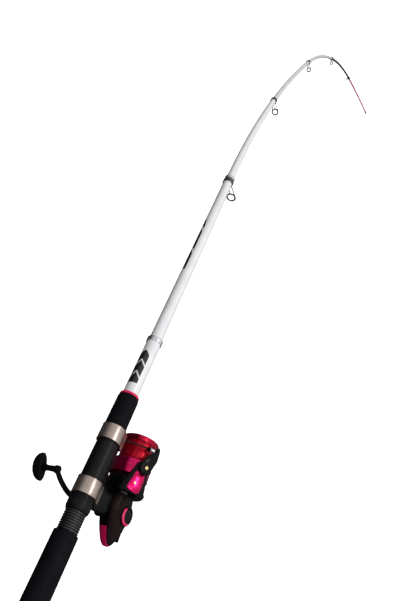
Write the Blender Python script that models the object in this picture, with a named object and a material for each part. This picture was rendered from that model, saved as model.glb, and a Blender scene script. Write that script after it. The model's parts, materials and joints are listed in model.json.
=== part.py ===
"""Telescopic fishing rod with a fixed-spool spinning reel.

Frame: the rod's handle lies along X with the tip towards +X, +Z is up and the reel hangs below at -Z.
The origin is on the rod's axis in the middle of the reel seat, where the hand holds it. The crank is
on the left, at +Y. The upper sections are bent down, as a rod bends under load.
"""

import math

import bmesh
import bpy
from mathutils import Matrix, Vector

MM = 0.001

# ---------------------------------------------------------------- driving dimensions: rod handle
CLEAR = 0.3 * MM  # gap left between two fixed pieces that touch

BLANK_RADIUS = 9.8 * MM  # outside of the butt section
BLANK_WALL = 0.8 * MM
BUTT_END = -262.0 * MM  # rear face of the rubber butt cap
BUTT_SECTION_END = 176.0 * MM  # front end of the butt section

SEAT_WALL = 3.2 * MM  # thickness of the seat over the blank
SEAT_RADIUS = BLANK_RADIUS + SEAT_WALL
SEAT_FRONT = 41.0 * MM
SEAT_STEP = -45.0 * MM  # where the seat steps down to its thread
SEAT_REAR = -82.0 * MM
THREAD_RADIUS = BLANK_RADIUS + 1.8 * MM
THREAD_DEPTH = 0.5 * MM
THREAD_PITCH = 5.5 * MM

HOOD_WALL = 1.3 * MM
FRONT_HOOD_X = (22.0 * MM, 42.0 * MM)
REAR_HOOD_X = (-43.0 * MM, -23.5 * MM)
HOOD_POCKET_HALF = 7.6 * MM  # half width of the pocket that takes the reel foot
NUT_LENGTH = 14.0 * MM
NUT_RADIUS = SEAT_RADIUS + 0.6 * MM

FORE_GRIP_RADIUS = BLANK_RADIUS + 3.7 * MM
FORE_GRIP_FRONT = 84.0 * MM
REAR_GRIP_RADIUS = BLANK_RADIUS + 4.0 * MM
TRIM_LENGTH = 3.5 * MM
TRIM_RADIUS = BLANK_RADIUS + 1.9 * MM
CAP_LENGTH = 18.0 * MM
CAP_RADIUS = REAR_GRIP_RADIUS + 1.2 * MM
CAP_WALL = 4.0 * MM
COLLAR_LENGTH = 7.0 * MM
COLLAR_WALL = 0.8 * MM

# ---------------------------------------------------------------- driving dimensions: sections
# length outside the section below, bend at its front end in degrees below the handle's line,
# radius at its rear and front end, wall (0 is solid), rings along it, sides
SECTION_OVERLAP = 48.0 * MM
SECTIONS = {
    2: (365.0 * MM, 0.0, BLANK_RADIUS - BLANK_WALL - CLEAR, 7.8 * MM, 0.8 * MM, 1, 16),
    3: (324.0 * MM, 8.9, 6.6 * MM, 5.5 * MM, 0.8 * MM, 5, 12),
    4: (335.0 * MM, 15.1, 4.5 * MM, 3.8 * MM, 0.6 * MM, 5, 10),
    5: (285.0 * MM, 31.1, 3.0 * MM, 2.6 * MM, 0.5 * MM, 6, 8),
    6: (252.0 * MM, 47.9, 2.0 * MM, 1.7 * MM, 0.45 * MM, 6, 8),
    7: (318.0 * MM, 52.5, 1.15 * MM, 0.75 * MM, 0.0, 4, 6),
}
FLEX_GAP = 1.0 * MM  # between a flexing section's shoulder and the collar behind it
SPIGOT_LENGTH = {3: 7.0 * MM, 4: 5.0 * MM, 5: 3.0 * MM, 6: 2.0 * MM, 7: 1.5 * MM}
SPIGOT_PLAY = 0.25 * MM  # radial gap left when the section is straightened

# ring outer radius, ring centre below the rod's axis, distance of the ring behind the collar, wire radius,
# and turn about the rod's axis in degrees
GUIDES = {
    2: (8.75 * MM, 25.0 * MM, 9.0 * MM, 0.9 * MM, 0.0),
    3: (7.5 * MM, 22.0 * MM, 7.0 * MM, 0.8 * MM, 0.0),
    4: (6.0 * MM, 17.0 * MM, 5.0 * MM, 0.7 * MM, 0.0),
    5: (5.0 * MM, 13.5 * MM, 4.0 * MM, 0.65 * MM, 0.0),
    6: (4.2 * MM, 11.0 * MM, 3.0 * MM, 0.6 * MM, 65.0),
}
GUIDE_COLLAR_LENGTH = 9.0 * MM
GUIDE_COLLAR_WALL = 0.7 * MM
TIP_RING_RADIUS = 3.4 * MM
TIP_TUBE_LENGTH = 9.0 * MM
INSERT_WALL = 1.3 * MM  # radial thickness of a ceramic ring
SMALLEST_LINED_RING = 4.5 * MM  # a smaller guide ring is bare polished wire

# ---------------------------------------------------------------- driving dimensions: reel
SPOOL_SKIRT_RADIUS = 24.8 * MM
STEM_REACH = 26.2 * MM  # from the seat's surface to the spool skirt
REEL_DROP = SEAT_RADIUS + SPOOL_SKIRT_RADIUS + STEM_REACH  # spool axis below the rod's axis
REEL_TILT = 2.5  # degrees that the spool axis rises towards the tip
ROTOR_TURN = -27.0  # rotor's turn at rest, in degrees about the spool axis

FOOT_HALF_LENGTH = 34.0 * MM
FOOT_HALF_WIDTH = 7.0 * MM
FOOT_THICKNESS = 3.0 * MM
STEM_HALF_WIDTH = 4.5 * MM

BODY_WALL = 2.0 * MM
COVER_PLANE = -4.0 * MM  # the housing splits here into body and side cover
REAR_PLANE = -50.0 * MM  # the rear cover begins behind this plane
# station along the spool axis, top, bottom and half width of the housing
BODY_STATIONS = [
    (-10.5 * MM, 17.0 * MM, -17.0 * MM, 13.5 * MM),
    (-20.0 * MM, 18.5 * MM, -21.0 * MM, 14.0 * MM),
    (-30.0 * MM, 18.5 * MM, -23.5 * MM, 14.0 * MM),
    (-40.0 * MM, 15.0 * MM, -24.0 * MM, 13.0 * MM),
    (-50.0 * MM, 10.0 * MM, -22.0 * MM, 11.0 * MM),
    (-60.0 * MM, 4.0 * MM, -18.0 * MM, 8.0 * MM),
    (-66.5 * MM, -0.5 * MM, -14.0 * MM, 5.0 * MM),
    (-69.5 * MM, -4.0 * MM, -10.0 * MM, 2.5 * MM),
]
BODY_SIDES = 16

SHAFT_RADIUS = 2.4 * MM  # main shaft
SHAFT_BORE_GAP = 0.25 * MM
SHAFT_REAR = -45.0 * MM
SHAFT_FRONT = 59.0 * MM
STROKE = 10.0 * MM  # travel of the main shaft and spool

CRANK_X = -31.0 * MM  # crank axis, along Y
CRANK_Z = -6.5 * MM
CRANK_SHAFT_RADIUS = 2.4 * MM
CRANK_HUB_RADIUS = 3.6 * MM
BOSS_RADIUS = 10.5 * MM
RIGHT_BOSS_END = -15.5 * MM
LEFT_BOSS_END = 20.0 * MM
LEFT_BOSS_RADIUS = 8.5 * MM
BEARING_RADIUS = 6.5 * MM
BEARING_LENGTH = 3.0 * MM

DRIVE_TEETH = 36
PINION_TEETH = 7
DRIVE_GEAR_RADIUS = 12.2 * MM
DRIVE_GEAR_INNER = 8.6 * MM
DRIVE_GEAR_THICKNESS = 3.0 * MM
TOOTH_HEIGHT = 1.0 * MM
PINION_RADIUS = 4.5 * MM
PINION_SLEEVE = 3.6 * MM
PINION_X = (-26.0 * MM, -15.5 * MM)
CROSS_TEETH = 16  # small gear on the drive gear's hub
OSCILLATION_TEETH = 13
OSCILLATION_X = -46.3 * MM
OSCILLATION_Z = -7.0 * MM
CROSS_GEAR_RADIUS = 8.2 * MM
OSCILLATION_RADIUS = 6.7 * MM
CROSS_GEAR_Y = (-7.6 * MM, -5.2 * MM)

ROTOR_X = (-9.0 * MM, -3.5 * MM)
ROTOR_RADIUS = SPOOL_SKIRT_RADIUS + 2.2 * MM
ROTOR_CUP_RADIUS = 22.3 * MM
ROTOR_CUP_FRONT = 8.0 * MM
ARM_THICKNESS = 4.7 * MM
ARM_COVER_THICKNESS = 1.1 * MM
ARM_INNER = SPOOL_SKIRT_RADIUS + 1.5 * MM  # the arms turn round the spool's skirt
ROTOR_ARM_Y = (ARM_INNER, ARM_INNER + ARM_THICKNESS)
ROTOR_ARM_HALF = 8.5 * MM
BAIL_X = 20.5 * MM  # bail hinge, across the rotor
BAIL_CAP_RADIUS = 8.5 * MM

SPOOL_SKIRT_X = (11.0 * MM, 29.5 * MM)
SPOOL_WALL = 1.4 * MM
SPOOL_LIP_RADIUS = 23.0 * MM
SPOOL_FRONT = 59.7 * MM
SPOOL_CORE_RADIUS = 13.5 * MM
LINE_RADIUS = 21.2 * MM
DRAG_BORE = 11.2 * MM
KNOB_RADIUS = 14.4 * MM
KNOB_FRONT = 62.0 * MM

BAIL_WIRE_RADIUS = 0.9 * MM
ROLLER_RADIUS = 3.4 * MM

CRANK_LEAN = 17.3  # degrees that the crank arm leans forward at rest
CRANK_LENGTH = 64.0 * MM
CRANK_BAR_RADIUS = 2.9 * MM
# the arm's line: along the arm, back from it, and out to the left
CRANK_LINE = [
    (0.0, 0.0, 27.0 * MM),
    (12.0 * MM, -4.5 * MM, 32.0 * MM),
    (28.0 * MM, -10.5 * MM, 39.6 * MM),
    (42.0 * MM, -12.5 * MM, 45.0 * MM),
    (54.0 * MM, -9.5 * MM, 51.0 * MM),
    (61.0 * MM, -4.0 * MM, 57.0 * MM),
    (CRANK_LENGTH, 0.0, 60.0 * MM),
]
GRIP_PIN_RADIUS = 1.8 * MM
GRIP_NECK_RADIUS = 3.5 * MM
GRIP_X = 64.6 * MM  # where the grip's neck starts, out from the spool axis
GRIP_BODY_OUT = (80.0 * MM, 95.0 * MM)
GRIP_HALF_LENGTH = 16.5 * MM
GRIP_HALF_WIDTH = 6.5 * MM
GRIP_TURN = 45.0  # degrees that the grip is turned on its pin at rest


# ---------------------------------------------------------------- materials
def material(name, colour, roughness, metallic=0.0):
    """A Principled material."""
    made = bpy.data.materials.new(name)
    made.use_nodes = True
    shader = made.node_tree.nodes["Principled BSDF"]
    shader.inputs["Base Color"].default_value = (*colour, 1.0)
    shader.inputs["Roughness"].default_value = roughness
    shader.inputs["Metallic"].default_value = metallic
    return made


def make_materials():
    """Every finish of the rod and reel, by name."""
    return {
        "white_lacquer": material("white_lacquer", (0.86, 0.86, 0.86), 0.18),
        "grey_lacquer": material("grey_lacquer", (0.05, 0.045, 0.055), 0.25),
        "pink_lacquer": material("pink_lacquer", (0.9, 0.03, 0.17), 0.25),
        "foam": material("foam", (0.012, 0.012, 0.014), 0.8),
        "rubber": material("rubber", (0.015, 0.015, 0.016), 0.7),
        "black_plastic": material("black_plastic", (0.01, 0.01, 0.012), 0.35),
        "magenta_metal": material("magenta_metal", (0.72, 0.01, 0.16), 0.22, 1.0),
        "steel_band": material("steel_band", (0.6, 0.52, 0.46), 0.3, 1.0),
        "steel": material("steel", (0.62, 0.62, 0.64), 0.25, 1.0),
        "black_wire": material("black_wire", (0.02, 0.02, 0.022), 0.3, 1.0),
        "ceramic": material("ceramic", (0.02, 0.02, 0.022), 0.15),
        "brass": material("brass", (0.75, 0.52, 0.2), 0.3, 1.0),
        "line": material("line", (0.75, 0.02, 0.04), 0.3),
        "felt": material("felt", (0.3, 0.28, 0.26), 0.9),
    }


# ---------------------------------------------------------------- mesh helpers
def finish_bmesh(bm):
    """Merges doubles and points the faces outwards."""
    bmesh.ops.remove_doubles(bm, verts=bm.verts, dist=1e-6)
    bmesh.ops.recalc_face_normals(bm, faces=bm.faces)
    mesh = bpy.data.meshes.new("mesh")
    bm.to_mesh(mesh)
    bm.free()
    return mesh


def turned(profile, sides, axis="X"):
    """A solid turned about an axis, from (along, radius) points; a ring if no point is on the axis."""
    bm = bmesh.new()
    verts = [bm.verts.new((along, 0.0, radius)) for along, radius in profile]
    pairs = list(zip(verts, verts[1:]))
    if profile[0][1] > 0.0 or profile[-1][1] > 0.0:
        pairs.append((verts[-1], verts[0]))
    edges = [bm.edges.new(pair) for pair in pairs]
    bmesh.ops.spin(
        bm, geom=verts + edges, axis=(1, 0, 0), cent=(0, 0, 0), angle=math.tau, steps=sides, use_merge=True
    )
    turn = {
        "X": Matrix.Identity(4),
        "Y": Matrix.Rotation(math.pi / 2, 4, "Z"),
        "Z": Matrix.Rotation(-math.pi / 2, 4, "Y"),
    }[axis]
    bm.transform(turn)
    return finish_bmesh(bm)


def tube_profile(start, end, outer, inner):
    """The profile of a plain tube."""
    return [(start, inner), (start, outer), (end, outer), (end, inner)]


def rod_profile(start, end, radius, chamfer=0.0):
    """The profile of a plain solid cylinder with chamfered ends."""
    if chamfer == 0.0:
        return [(start, 0.0), (start, radius), (end, radius), (end, 0.0)]
    low = radius - chamfer
    return [
        (start, 0.0), (start, low), (start + chamfer, radius), (end - chamfer, radius), (end, low), (end, 0.0)
    ]


def ring_profile(centre, major, minor, count):
    """The profile of a torus: a circle of points round (centre, major)."""
    steps = [math.tau * i / count for i in range(count)]
    return [(centre + minor * math.cos(a), major + minor * math.sin(a)) for a in steps]


def prism(outline, low, high, axis="Y"):
    """A solid with a flat outline of (u, v) points, from low to high along the axis."""
    bm = bmesh.new()
    spots = {"Y": lambda u, v: (u, low, v), "X": lambda u, v: (low, u, v), "Z": lambda u, v: (u, v, low)}
    face = bm.faces.new([bm.verts.new(spots[axis](u, v)) for u, v in outline])
    moved = bmesh.ops.extrude_face_region(bm, geom=[face])
    step = {"Y": (0, high - low, 0), "X": (high - low, 0, 0), "Z": (0, 0, high - low)}[axis]
    bmesh.ops.translate(bm, vec=step, verts=[v for v in moved["geom"] if isinstance(v, bmesh.types.BMVert)])
    return finish_bmesh(bm)


def loft(rings):
    """A solid through rings of points, each ring with the same count, closed at both ends."""
    bm = bmesh.new()
    loops = [[bm.verts.new(point) for point in ring] for ring in rings]
    count = len(loops[0])
    for low, high in zip(loops, loops[1:]):
        for i in range(count):
            j = (i + 1) % count
            bm.faces.new((low[i], low[j], high[j], high[i]))
    bm.faces.new(list(reversed(loops[0])))
    bm.faces.new(loops[-1])
    bmesh.ops.triangulate(bm, faces=bm.faces)
    return finish_bmesh(bm)


def wire(points, radius, resolution=1):
    """A round bar along points, with filled ends."""
    curve = bpy.data.curves.new("wire", "CURVE")
    curve.dimensions = "3D"
    curve.bevel_depth = radius
    curve.bevel_resolution = resolution
    curve.use_fill_caps = True
    spline = curve.splines.new("POLY")
    spline.points.add(len(points) - 1)
    for spot, point in zip(spline.points, points):
        spot.co = (*point, 1.0)
    holder = bpy.data.objects.new("wire", curve)
    bpy.context.scene.collection.objects.link(holder)
    mesh = evaluated_mesh(holder)
    bpy.data.objects.remove(holder)
    bm = bmesh.new()
    bm.from_mesh(mesh)
    return finish_bmesh(bm)


def evaluated_mesh(obj):
    """The object's mesh after its modifiers."""
    bpy.context.view_layer.update()
    graph = bpy.context.evaluated_depsgraph_get()
    return bpy.data.meshes.new_from_object(obj.evaluated_get(graph))


def combine(base, *others, operation="UNION"):
    """The Boolean of a base mesh and others, one after another."""
    holder = bpy.data.objects.new("base", base)
    bpy.context.scene.collection.objects.link(holder)
    for other in others:
        tool = bpy.data.objects.new("tool", other)
        bpy.context.scene.collection.objects.link(tool)
        step = holder.modifiers.new("step", "BOOLEAN")
        step.operation = operation
        step.object = tool
        holder.data = evaluated_mesh(holder)
        holder.modifiers.clear()
        bpy.data.objects.remove(tool)
    result = holder.data
    bpy.data.objects.remove(holder)
    return result


def cut(base, *cutters):
    """A base mesh less its cutters."""
    return combine(base, *cutters, operation="DIFFERENCE")


def moved(mesh, offset=(0, 0, 0), turn=None):
    """The mesh turned and then moved."""
    if turn is not None:
        mesh.transform(turn)
    mesh.transform(Matrix.Translation(offset))
    return mesh


def spline_points(spots, per_span):
    """Points on a smooth curve through the spots (Catmull-Rom)."""
    ends = [Vector(p) for p in (spots[0], *spots, spots[-1])]
    found = []
    for a, b, c, d in zip(ends, ends[1:], ends[2:], ends[3:]):
        for i in range(per_span):
            t = i / per_span
            found.append(
                0.5 * (
                    (2 * b) + (c - a) * t + (2 * a - 5 * b + 4 * c - d) * t**2
                    + (3 * b - a - 3 * c + d) * t**3
                )
            )
    found.append(Vector(spots[-1]))
    return found


# ---------------------------------------------------------------- placing
def empty(name, location=(0, 0, 0), rotation=(0, 0, 0), parent=None):
    """A frame that pieces are parented to."""
    frame = bpy.data.objects.new(name, None)
    frame.location = location
    frame.rotation_euler = rotation
    frame.parent = parent
    bpy.context.scene.collection.objects.link(frame)
    return frame


def place(name, mesh, finish, parent=None, smooth=True):
    """A node of the object, with its mesh in its parent's frame."""
    mesh.name = name
    obj = bpy.data.objects.new(name, mesh)
    bpy.context.scene.collection.objects.link(obj)
    obj.parent = parent
    mesh.materials.clear()
    mesh.materials.append(FINISHES[finish])
    if smooth:
        mesh.shade_smooth()
        mesh.set_sharp_from_angle(angle=math.radians(40))
    return obj


# ---------------------------------------------------------------- the rod's bent line
def rod_nodes():
    """For each section: distance, x, z and bend in radians where it starts, and its bend per metre."""
    x, z, bend = BUTT_SECTION_END, 0.0, 0.0
    found = {}
    for number, (length, end_bend, *_) in SECTIONS.items():
        end = math.radians(end_bend)
        rate = (end - bend) / length
        found[number] = (x, z, bend, rate)
        x, z = arc_point(x, z, bend, rate, length)
        bend = end
    found[8] = (x, z, bend, 0.0)
    return found


def arc_point(x, z, bend, rate, distance):
    """The point at a distance along an arc that starts at (x, z) heading down by bend."""
    if abs(rate) < 1e-9:
        return x + distance * math.cos(bend), z - distance * math.sin(bend)
    end = bend + rate * distance
    return x + (math.sin(end) - math.sin(bend)) / rate, z - (math.cos(bend) - math.cos(end)) / rate


def bent(mesh, number):
    """Bends a mesh built along X from 0 onto a section's arc."""
    x, z, bend, rate = rod_nodes()[number]
    for vert in mesh.vertices:
        along, across, up = vert.co
        px, pz = arc_point(x, z, bend, rate, along)
        angle = bend + rate * along
        vert.co = (px + up * math.sin(angle), across, pz + up * math.cos(angle))
    return mesh


def section_frame(number, name):
    """An empty at the front end of a section, with X along the rod there."""
    x, z, bend, _ = rod_nodes()[number + 1]
    return empty(name, (x, 0, z), (0, bend, 0))


# ---------------------------------------------------------------- rod handle
def make_handle():
    """Butt section, grips, reel seat, hoods, nut, trim ring, collar and butt cap."""
    bore = BLANK_RADIUS - BLANK_WALL
    rear = BUTT_END + CAP_WALL + CLEAR
    butt = turned(tube_profile(rear, BUTT_SECTION_END - CLEAR, BLANK_RADIUS, bore), 20)
    place("butt_blank", butt, "white_lacquer")

    inner = BLANK_RADIUS + CLEAR
    grip_start = BUTT_END + CAP_LENGTH + CLEAR
    grip_end = SEAT_REAR - CLEAR
    edge = 2.0 * MM
    rear_grip = [
        (grip_start, inner), (grip_start, REAR_GRIP_RADIUS - edge), (grip_start + edge, REAR_GRIP_RADIUS),
        (grip_end - edge, REAR_GRIP_RADIUS), (grip_end, REAR_GRIP_RADIUS - edge), (grip_end, inner),
    ]
    place("rear_grip", turned(rear_grip, 20), "foam")

    cap_bore = BLANK_RADIUS + CLEAR
    cap = [
        (BUTT_END, 0.0), (BUTT_END, CAP_RADIUS - edge), (BUTT_END + edge, CAP_RADIUS),
        (BUTT_END + CAP_LENGTH - edge, CAP_RADIUS), (BUTT_END + CAP_LENGTH, CAP_RADIUS - edge),
        (BUTT_END + CAP_LENGTH, cap_bore), (BUTT_END + CAP_WALL, cap_bore), (BUTT_END + CAP_WALL, 0.0),
    ]
    place("butt_cap", turned(cap, 20), "rubber")

    place("reel_seat", turned(seat_profile(inner), 18), "black_plastic")
    place("front_hood", hood(FRONT_HOOD_X), "steel_band")
    place("rear_hood", hood(REAR_HOOD_X), "steel_band")

    nut_front = SEAT_STEP - CLEAR
    nut_bore = THREAD_RADIUS + CLEAR
    lip = 1.0 * MM
    nut = [
        (nut_front - NUT_LENGTH, nut_bore), (nut_front - NUT_LENGTH, NUT_RADIUS - lip),
        (nut_front - NUT_LENGTH + lip, NUT_RADIUS), (nut_front - lip, NUT_RADIUS),
        (nut_front, NUT_RADIUS - lip), (nut_front, nut_bore),
    ]
    place("lock_nut", turned(nut, 20), "black_plastic")

    grip_rear = FRONT_HOOD_X[1] + CLEAR
    fore_grip = [
        (grip_rear, inner), (grip_rear, FORE_GRIP_RADIUS),
        (FORE_GRIP_FRONT - edge, FORE_GRIP_RADIUS - 0.2 * MM),
        (FORE_GRIP_FRONT, TRIM_RADIUS), (FORE_GRIP_FRONT, inner),
    ]
    place("fore_grip", turned(fore_grip, 20), "foam")
    trim_rear = FORE_GRIP_FRONT + CLEAR
    trim = [
        (trim_rear, inner), (trim_rear, TRIM_RADIUS), (trim_rear + TRIM_LENGTH - lip, TRIM_RADIUS - lip / 2),
        (trim_rear + TRIM_LENGTH, inner + lip / 2), (trim_rear + TRIM_LENGTH, inner),
    ]
    place("trim_ring", turned(trim, 20), "pink_lacquer")

    first = (BUTT_SECTION_END - COLLAR_LENGTH, BUTT_SECTION_END - CLEAR)
    place("butt_collar", turned(tube_profile(*first, inner + COLLAR_WALL, inner), 20), "steel")


def seat_profile(inner):
    """The reel seat: a plain tube in front, a threaded tube behind."""
    core = THREAD_RADIUS - THREAD_DEPTH
    thread_front = SEAT_STEP - NUT_LENGTH - 2 * CLEAR
    outline = [(SEAT_REAR, inner), (SEAT_REAR, core)]
    count = int((thread_front - SEAT_REAR) / THREAD_PITCH)
    for i in range(count):
        start = SEAT_REAR + i * THREAD_PITCH + THREAD_PITCH / 4
        outline.append((start, core))
        outline.append((start + THREAD_PITCH / 4, THREAD_RADIUS))
        outline.append((start + THREAD_PITCH / 2, core))
    outline += [(SEAT_STEP, core), (SEAT_STEP, SEAT_RADIUS), (SEAT_FRONT, SEAT_RADIUS), (SEAT_FRONT, inner)]
    return outline


def hood(span):
    """A metal band round the seat, with a pocket below that holds one end of the reel foot."""
    inner = SEAT_RADIUS + CLEAR
    outer = inner + HOOD_WALL
    floor = SEAT_RADIUS + FOOT_THICKNESS + 3 * CLEAR
    half = HOOD_POCKET_HALF
    band = turned(tube_profile(*span, outer, inner), 24)
    pocket_outer = [
        (-half - HOOD_WALL, -inner * 0.78), (-half - HOOD_WALL, -floor), (-half, -floor - HOOD_WALL),
        (half, -floor - HOOD_WALL), (half + HOOD_WALL, -floor), (half + HOOD_WALL, -inner * 0.78),
    ]
    pocket = prism(pocket_outer, span[0] + 0.1 * MM, span[1] - 0.1 * MM, "X")
    slot = prism([(-half, -inner * 0.7), (-half, -floor), (half, -floor), (half, -inner * 0.7)],
                 span[0] - 1 * MM, span[1] + 1 * MM, "X")
    core = turned(rod_profile(span[0] - 1 * MM, span[1] + 1 * MM, inner), 24)
    return cut(combine(band, pocket), slot, core)


# ---------------------------------------------------------------- rod sections and guides
def make_sections():
    """The telescoping second section and the flexing sections above it, with collars and guides."""
    for number in SECTIONS:
        mesh = bent(turned(section_profile(number), SECTIONS[number][6]), number)
        finish = {6: "grey_lacquer", 7: "pink_lacquer"}.get(number, "white_lacquer")
        name = "tip_blank" if number == 7 else f"blank_{number}"
        place(name, mesh, finish)
    frame = section_frame(2, "collar_frame")
    radius = SECTIONS[2][3] + CLEAR
    profile = tube_profile(-COLLAR_LENGTH + 1 * MM, -CLEAR, radius + COLLAR_WALL, radius)
    place("collar_2", turned(profile, 16), "steel", frame)
    for number in GUIDES:
        make_guide(number)
    make_tip_top()


def section_profile(number):
    """A section's profile along X from its visible start, with its hidden end below 0."""
    length, _, rear, front, wall, rings, _ = SECTIONS[number]
    end = length - CLEAR
    steps = [i / rings for i in range(rings + 1)]
    if number == 2:
        start = -SECTION_OVERLAP
        outer = [(start, rear), (0.0, rear), (end, front)]
        return outer + [(end, front - wall), (start, rear - wall)]
    start = FLEX_GAP
    spigot = spigot_radius(number)
    profile = [(-SPIGOT_LENGTH[number], 0.0), (-SPIGOT_LENGTH[number], spigot), (start, spigot)]
    profile += [(start + (end - start) * t, rear + (front - rear) * t) for t in steps]
    if wall == 0.0:
        return profile + [(end, 0.0)]
    deep = start + 2 * MM
    bores = [(deep + (end - deep) * t, rear - wall + (front - rear) * t) for t in reversed(steps)]
    return profile + bores + [(deep, 0.0)]


def flex_angles():
    """How far each flexing section turns up when the rod is straight, in degrees, chord to chord."""
    chords = {}
    last = 0.0
    for number, (_, end_bend, *_) in SECTIONS.items():
        chords[number] = (last + end_bend) / 2
        last = end_bend
    return {n: chords[n] - chords[n - 1] for n in SECTIONS if n > 2}


def spigot_radius(number):
    """The hidden end's radius, so that it turns inside the bore of the section behind."""
    _, _, _, front, wall, *_ = SECTIONS[number - 1]
    swing = SPIGOT_LENGTH[number] * math.sin(math.radians(flex_angles()[number]))
    return front - wall - swing - SPIGOT_PLAY


def make_guide(number):
    """A wire guide: a collar on the section's front end, two legs and a ring, with a ceramic insert."""
    ring, drop, back, gauge, turn = GUIDES[number]
    frame = section_frame(number, f"guide_frame_{number - 1}")
    seat = empty(f"guide_turn_{number - 1}", rotation=(math.radians(turn), 0, 0), parent=frame)
    behind = COLLAR_LENGTH if number == 2 else 0.0
    inner = SECTIONS[number][3] + 1.5 * CLEAR
    front = -behind - CLEAR
    rear = front - GUIDE_COLLAR_LENGTH
    taper = (SECTIONS[number][2] - SECTIONS[number][3]) / SECTIONS[number][0] * (GUIDE_COLLAR_LENGTH + behind)
    outer = inner + taper + GUIDE_COLLAR_WALL
    collar = turned(tube_profile(rear, front, outer, inner + taper), SECTIONS[number][6])
    ring_x = rear - back + GUIDE_COLLAR_LENGTH / 2
    holder = moved(turned(ring_profile(0, ring - gauge, gauge, 5), 14), (ring_x, 0, -drop))
    top = (rear + 2 * MM, 0.0, -outer + gauge * 0.5)
    legs = []
    for side in (-1, 1):
        start = (front - 2 * MM, side * outer * 0.45, -outer * 0.8)
        bend = (ring_x + back * 0.4, side * (ring - gauge) * 0.8, -drop + ring * 0.75)
        end = (ring_x, side * (ring - gauge), -drop)
        legs.append(wire([start, bend, end], gauge * 0.8))
    back_leg = wire([top, (ring_x, 0, -drop + ring - gauge)], gauge * 0.8)
    place(f"guide_{number - 1}_frame", combine(collar, holder, *legs, back_leg), "black_wire", seat)
    if ring < SMALLEST_LINED_RING:
        return
    hole = ring - 2 * gauge - CLEAR / 2
    width = gauge * 0.9
    insert = [
        (-width, hole), (-width, hole - INSERT_WALL * 0.4), (0.0, hole - INSERT_WALL),
        (width, hole - INSERT_WALL * 0.4), (width, hole),
    ]
    place(f"guide_{number - 1}_ring", moved(turned(insert, 14), (ring_x, 0, -drop)), "ceramic", seat)


def make_tip_top():
    """The tip top: a tube on the rod's end and a ring that the line leaves by."""
    frame = section_frame(7, "tip_frame")
    radius = SECTIONS[7][3]
    gauge = 0.6 * MM
    sleeve_profile = [
        (-TIP_TUBE_LENGTH, radius + CLEAR), (-TIP_TUBE_LENGTH, radius + 3 * CLEAR),
        (1.5 * MM, radius + 3 * CLEAR),
        (2.2 * MM, 0.0), (0.2 * MM, 0.0), (0.2 * MM, radius + CLEAR),
    ]
    sleeve = turned(sleeve_profile[3:] + sleeve_profile[:3] + [sleeve_profile[3]], 10)
    centre = (4.6 * MM, 0, -TIP_RING_RADIUS + 1.0 * MM)
    holder = moved(turned(ring_profile(0, TIP_RING_RADIUS - gauge, gauge, 5), 12), centre)
    leg = wire([(0.5 * MM, 0, -0.4 * MM), (4.6 * MM, 0, 0.35 * MM)], gauge * 0.9)
    place("tip_top", combine(sleeve, holder, leg), "black_wire", frame)


# ---------------------------------------------------------------- reel housing
def body_ring(x, top, bottom, half, inset=0.0):
    """One ring of the housing: a squarish oval across the spool axis."""
    middle, high = (top + bottom) / 2, (top - bottom) / 2 - inset
    wide = half - inset
    ring = []
    for i in range(BODY_SIDES):
        angle = math.tau * i / BODY_SIDES
        c, s = math.cos(angle), math.sin(angle)
        power = 0.7
        ring.append((
            x, wide * math.copysign(abs(c) ** power, c), middle + high * math.copysign(abs(s) ** power, s)
        ))
    return ring


def housing_solid():
    """The outside of the whole housing as a solid."""
    return loft([body_ring(*station) for station in BODY_STATIONS])


def housing_room():
    """The space inside the housing."""
    front = (BODY_STATIONS[0][0] - 2 * BODY_WALL, *BODY_STATIONS[0][1:])
    rear = (BODY_STATIONS[-2][0] + BODY_WALL, *BODY_STATIONS[-2][1:])
    return loft([body_ring(*station, inset=BODY_WALL) for station in [front, *BODY_STATIONS[1:-2], rear]])


def block(low, high):
    """A box between two corners."""
    outline = [(low[0], low[2]), (high[0], low[2]), (high[0], high[2]), (low[0], high[2])]
    return prism(outline, low[1], high[1], "Y")


def rod_to_reel(x, z):
    """A point of the rod's frame in the reel's frame."""
    tilt = math.radians(REEL_TILT)
    down = z + REEL_DROP
    return x * math.cos(tilt) + down * math.sin(tilt), -x * math.sin(tilt) + down * math.cos(tilt)


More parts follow.
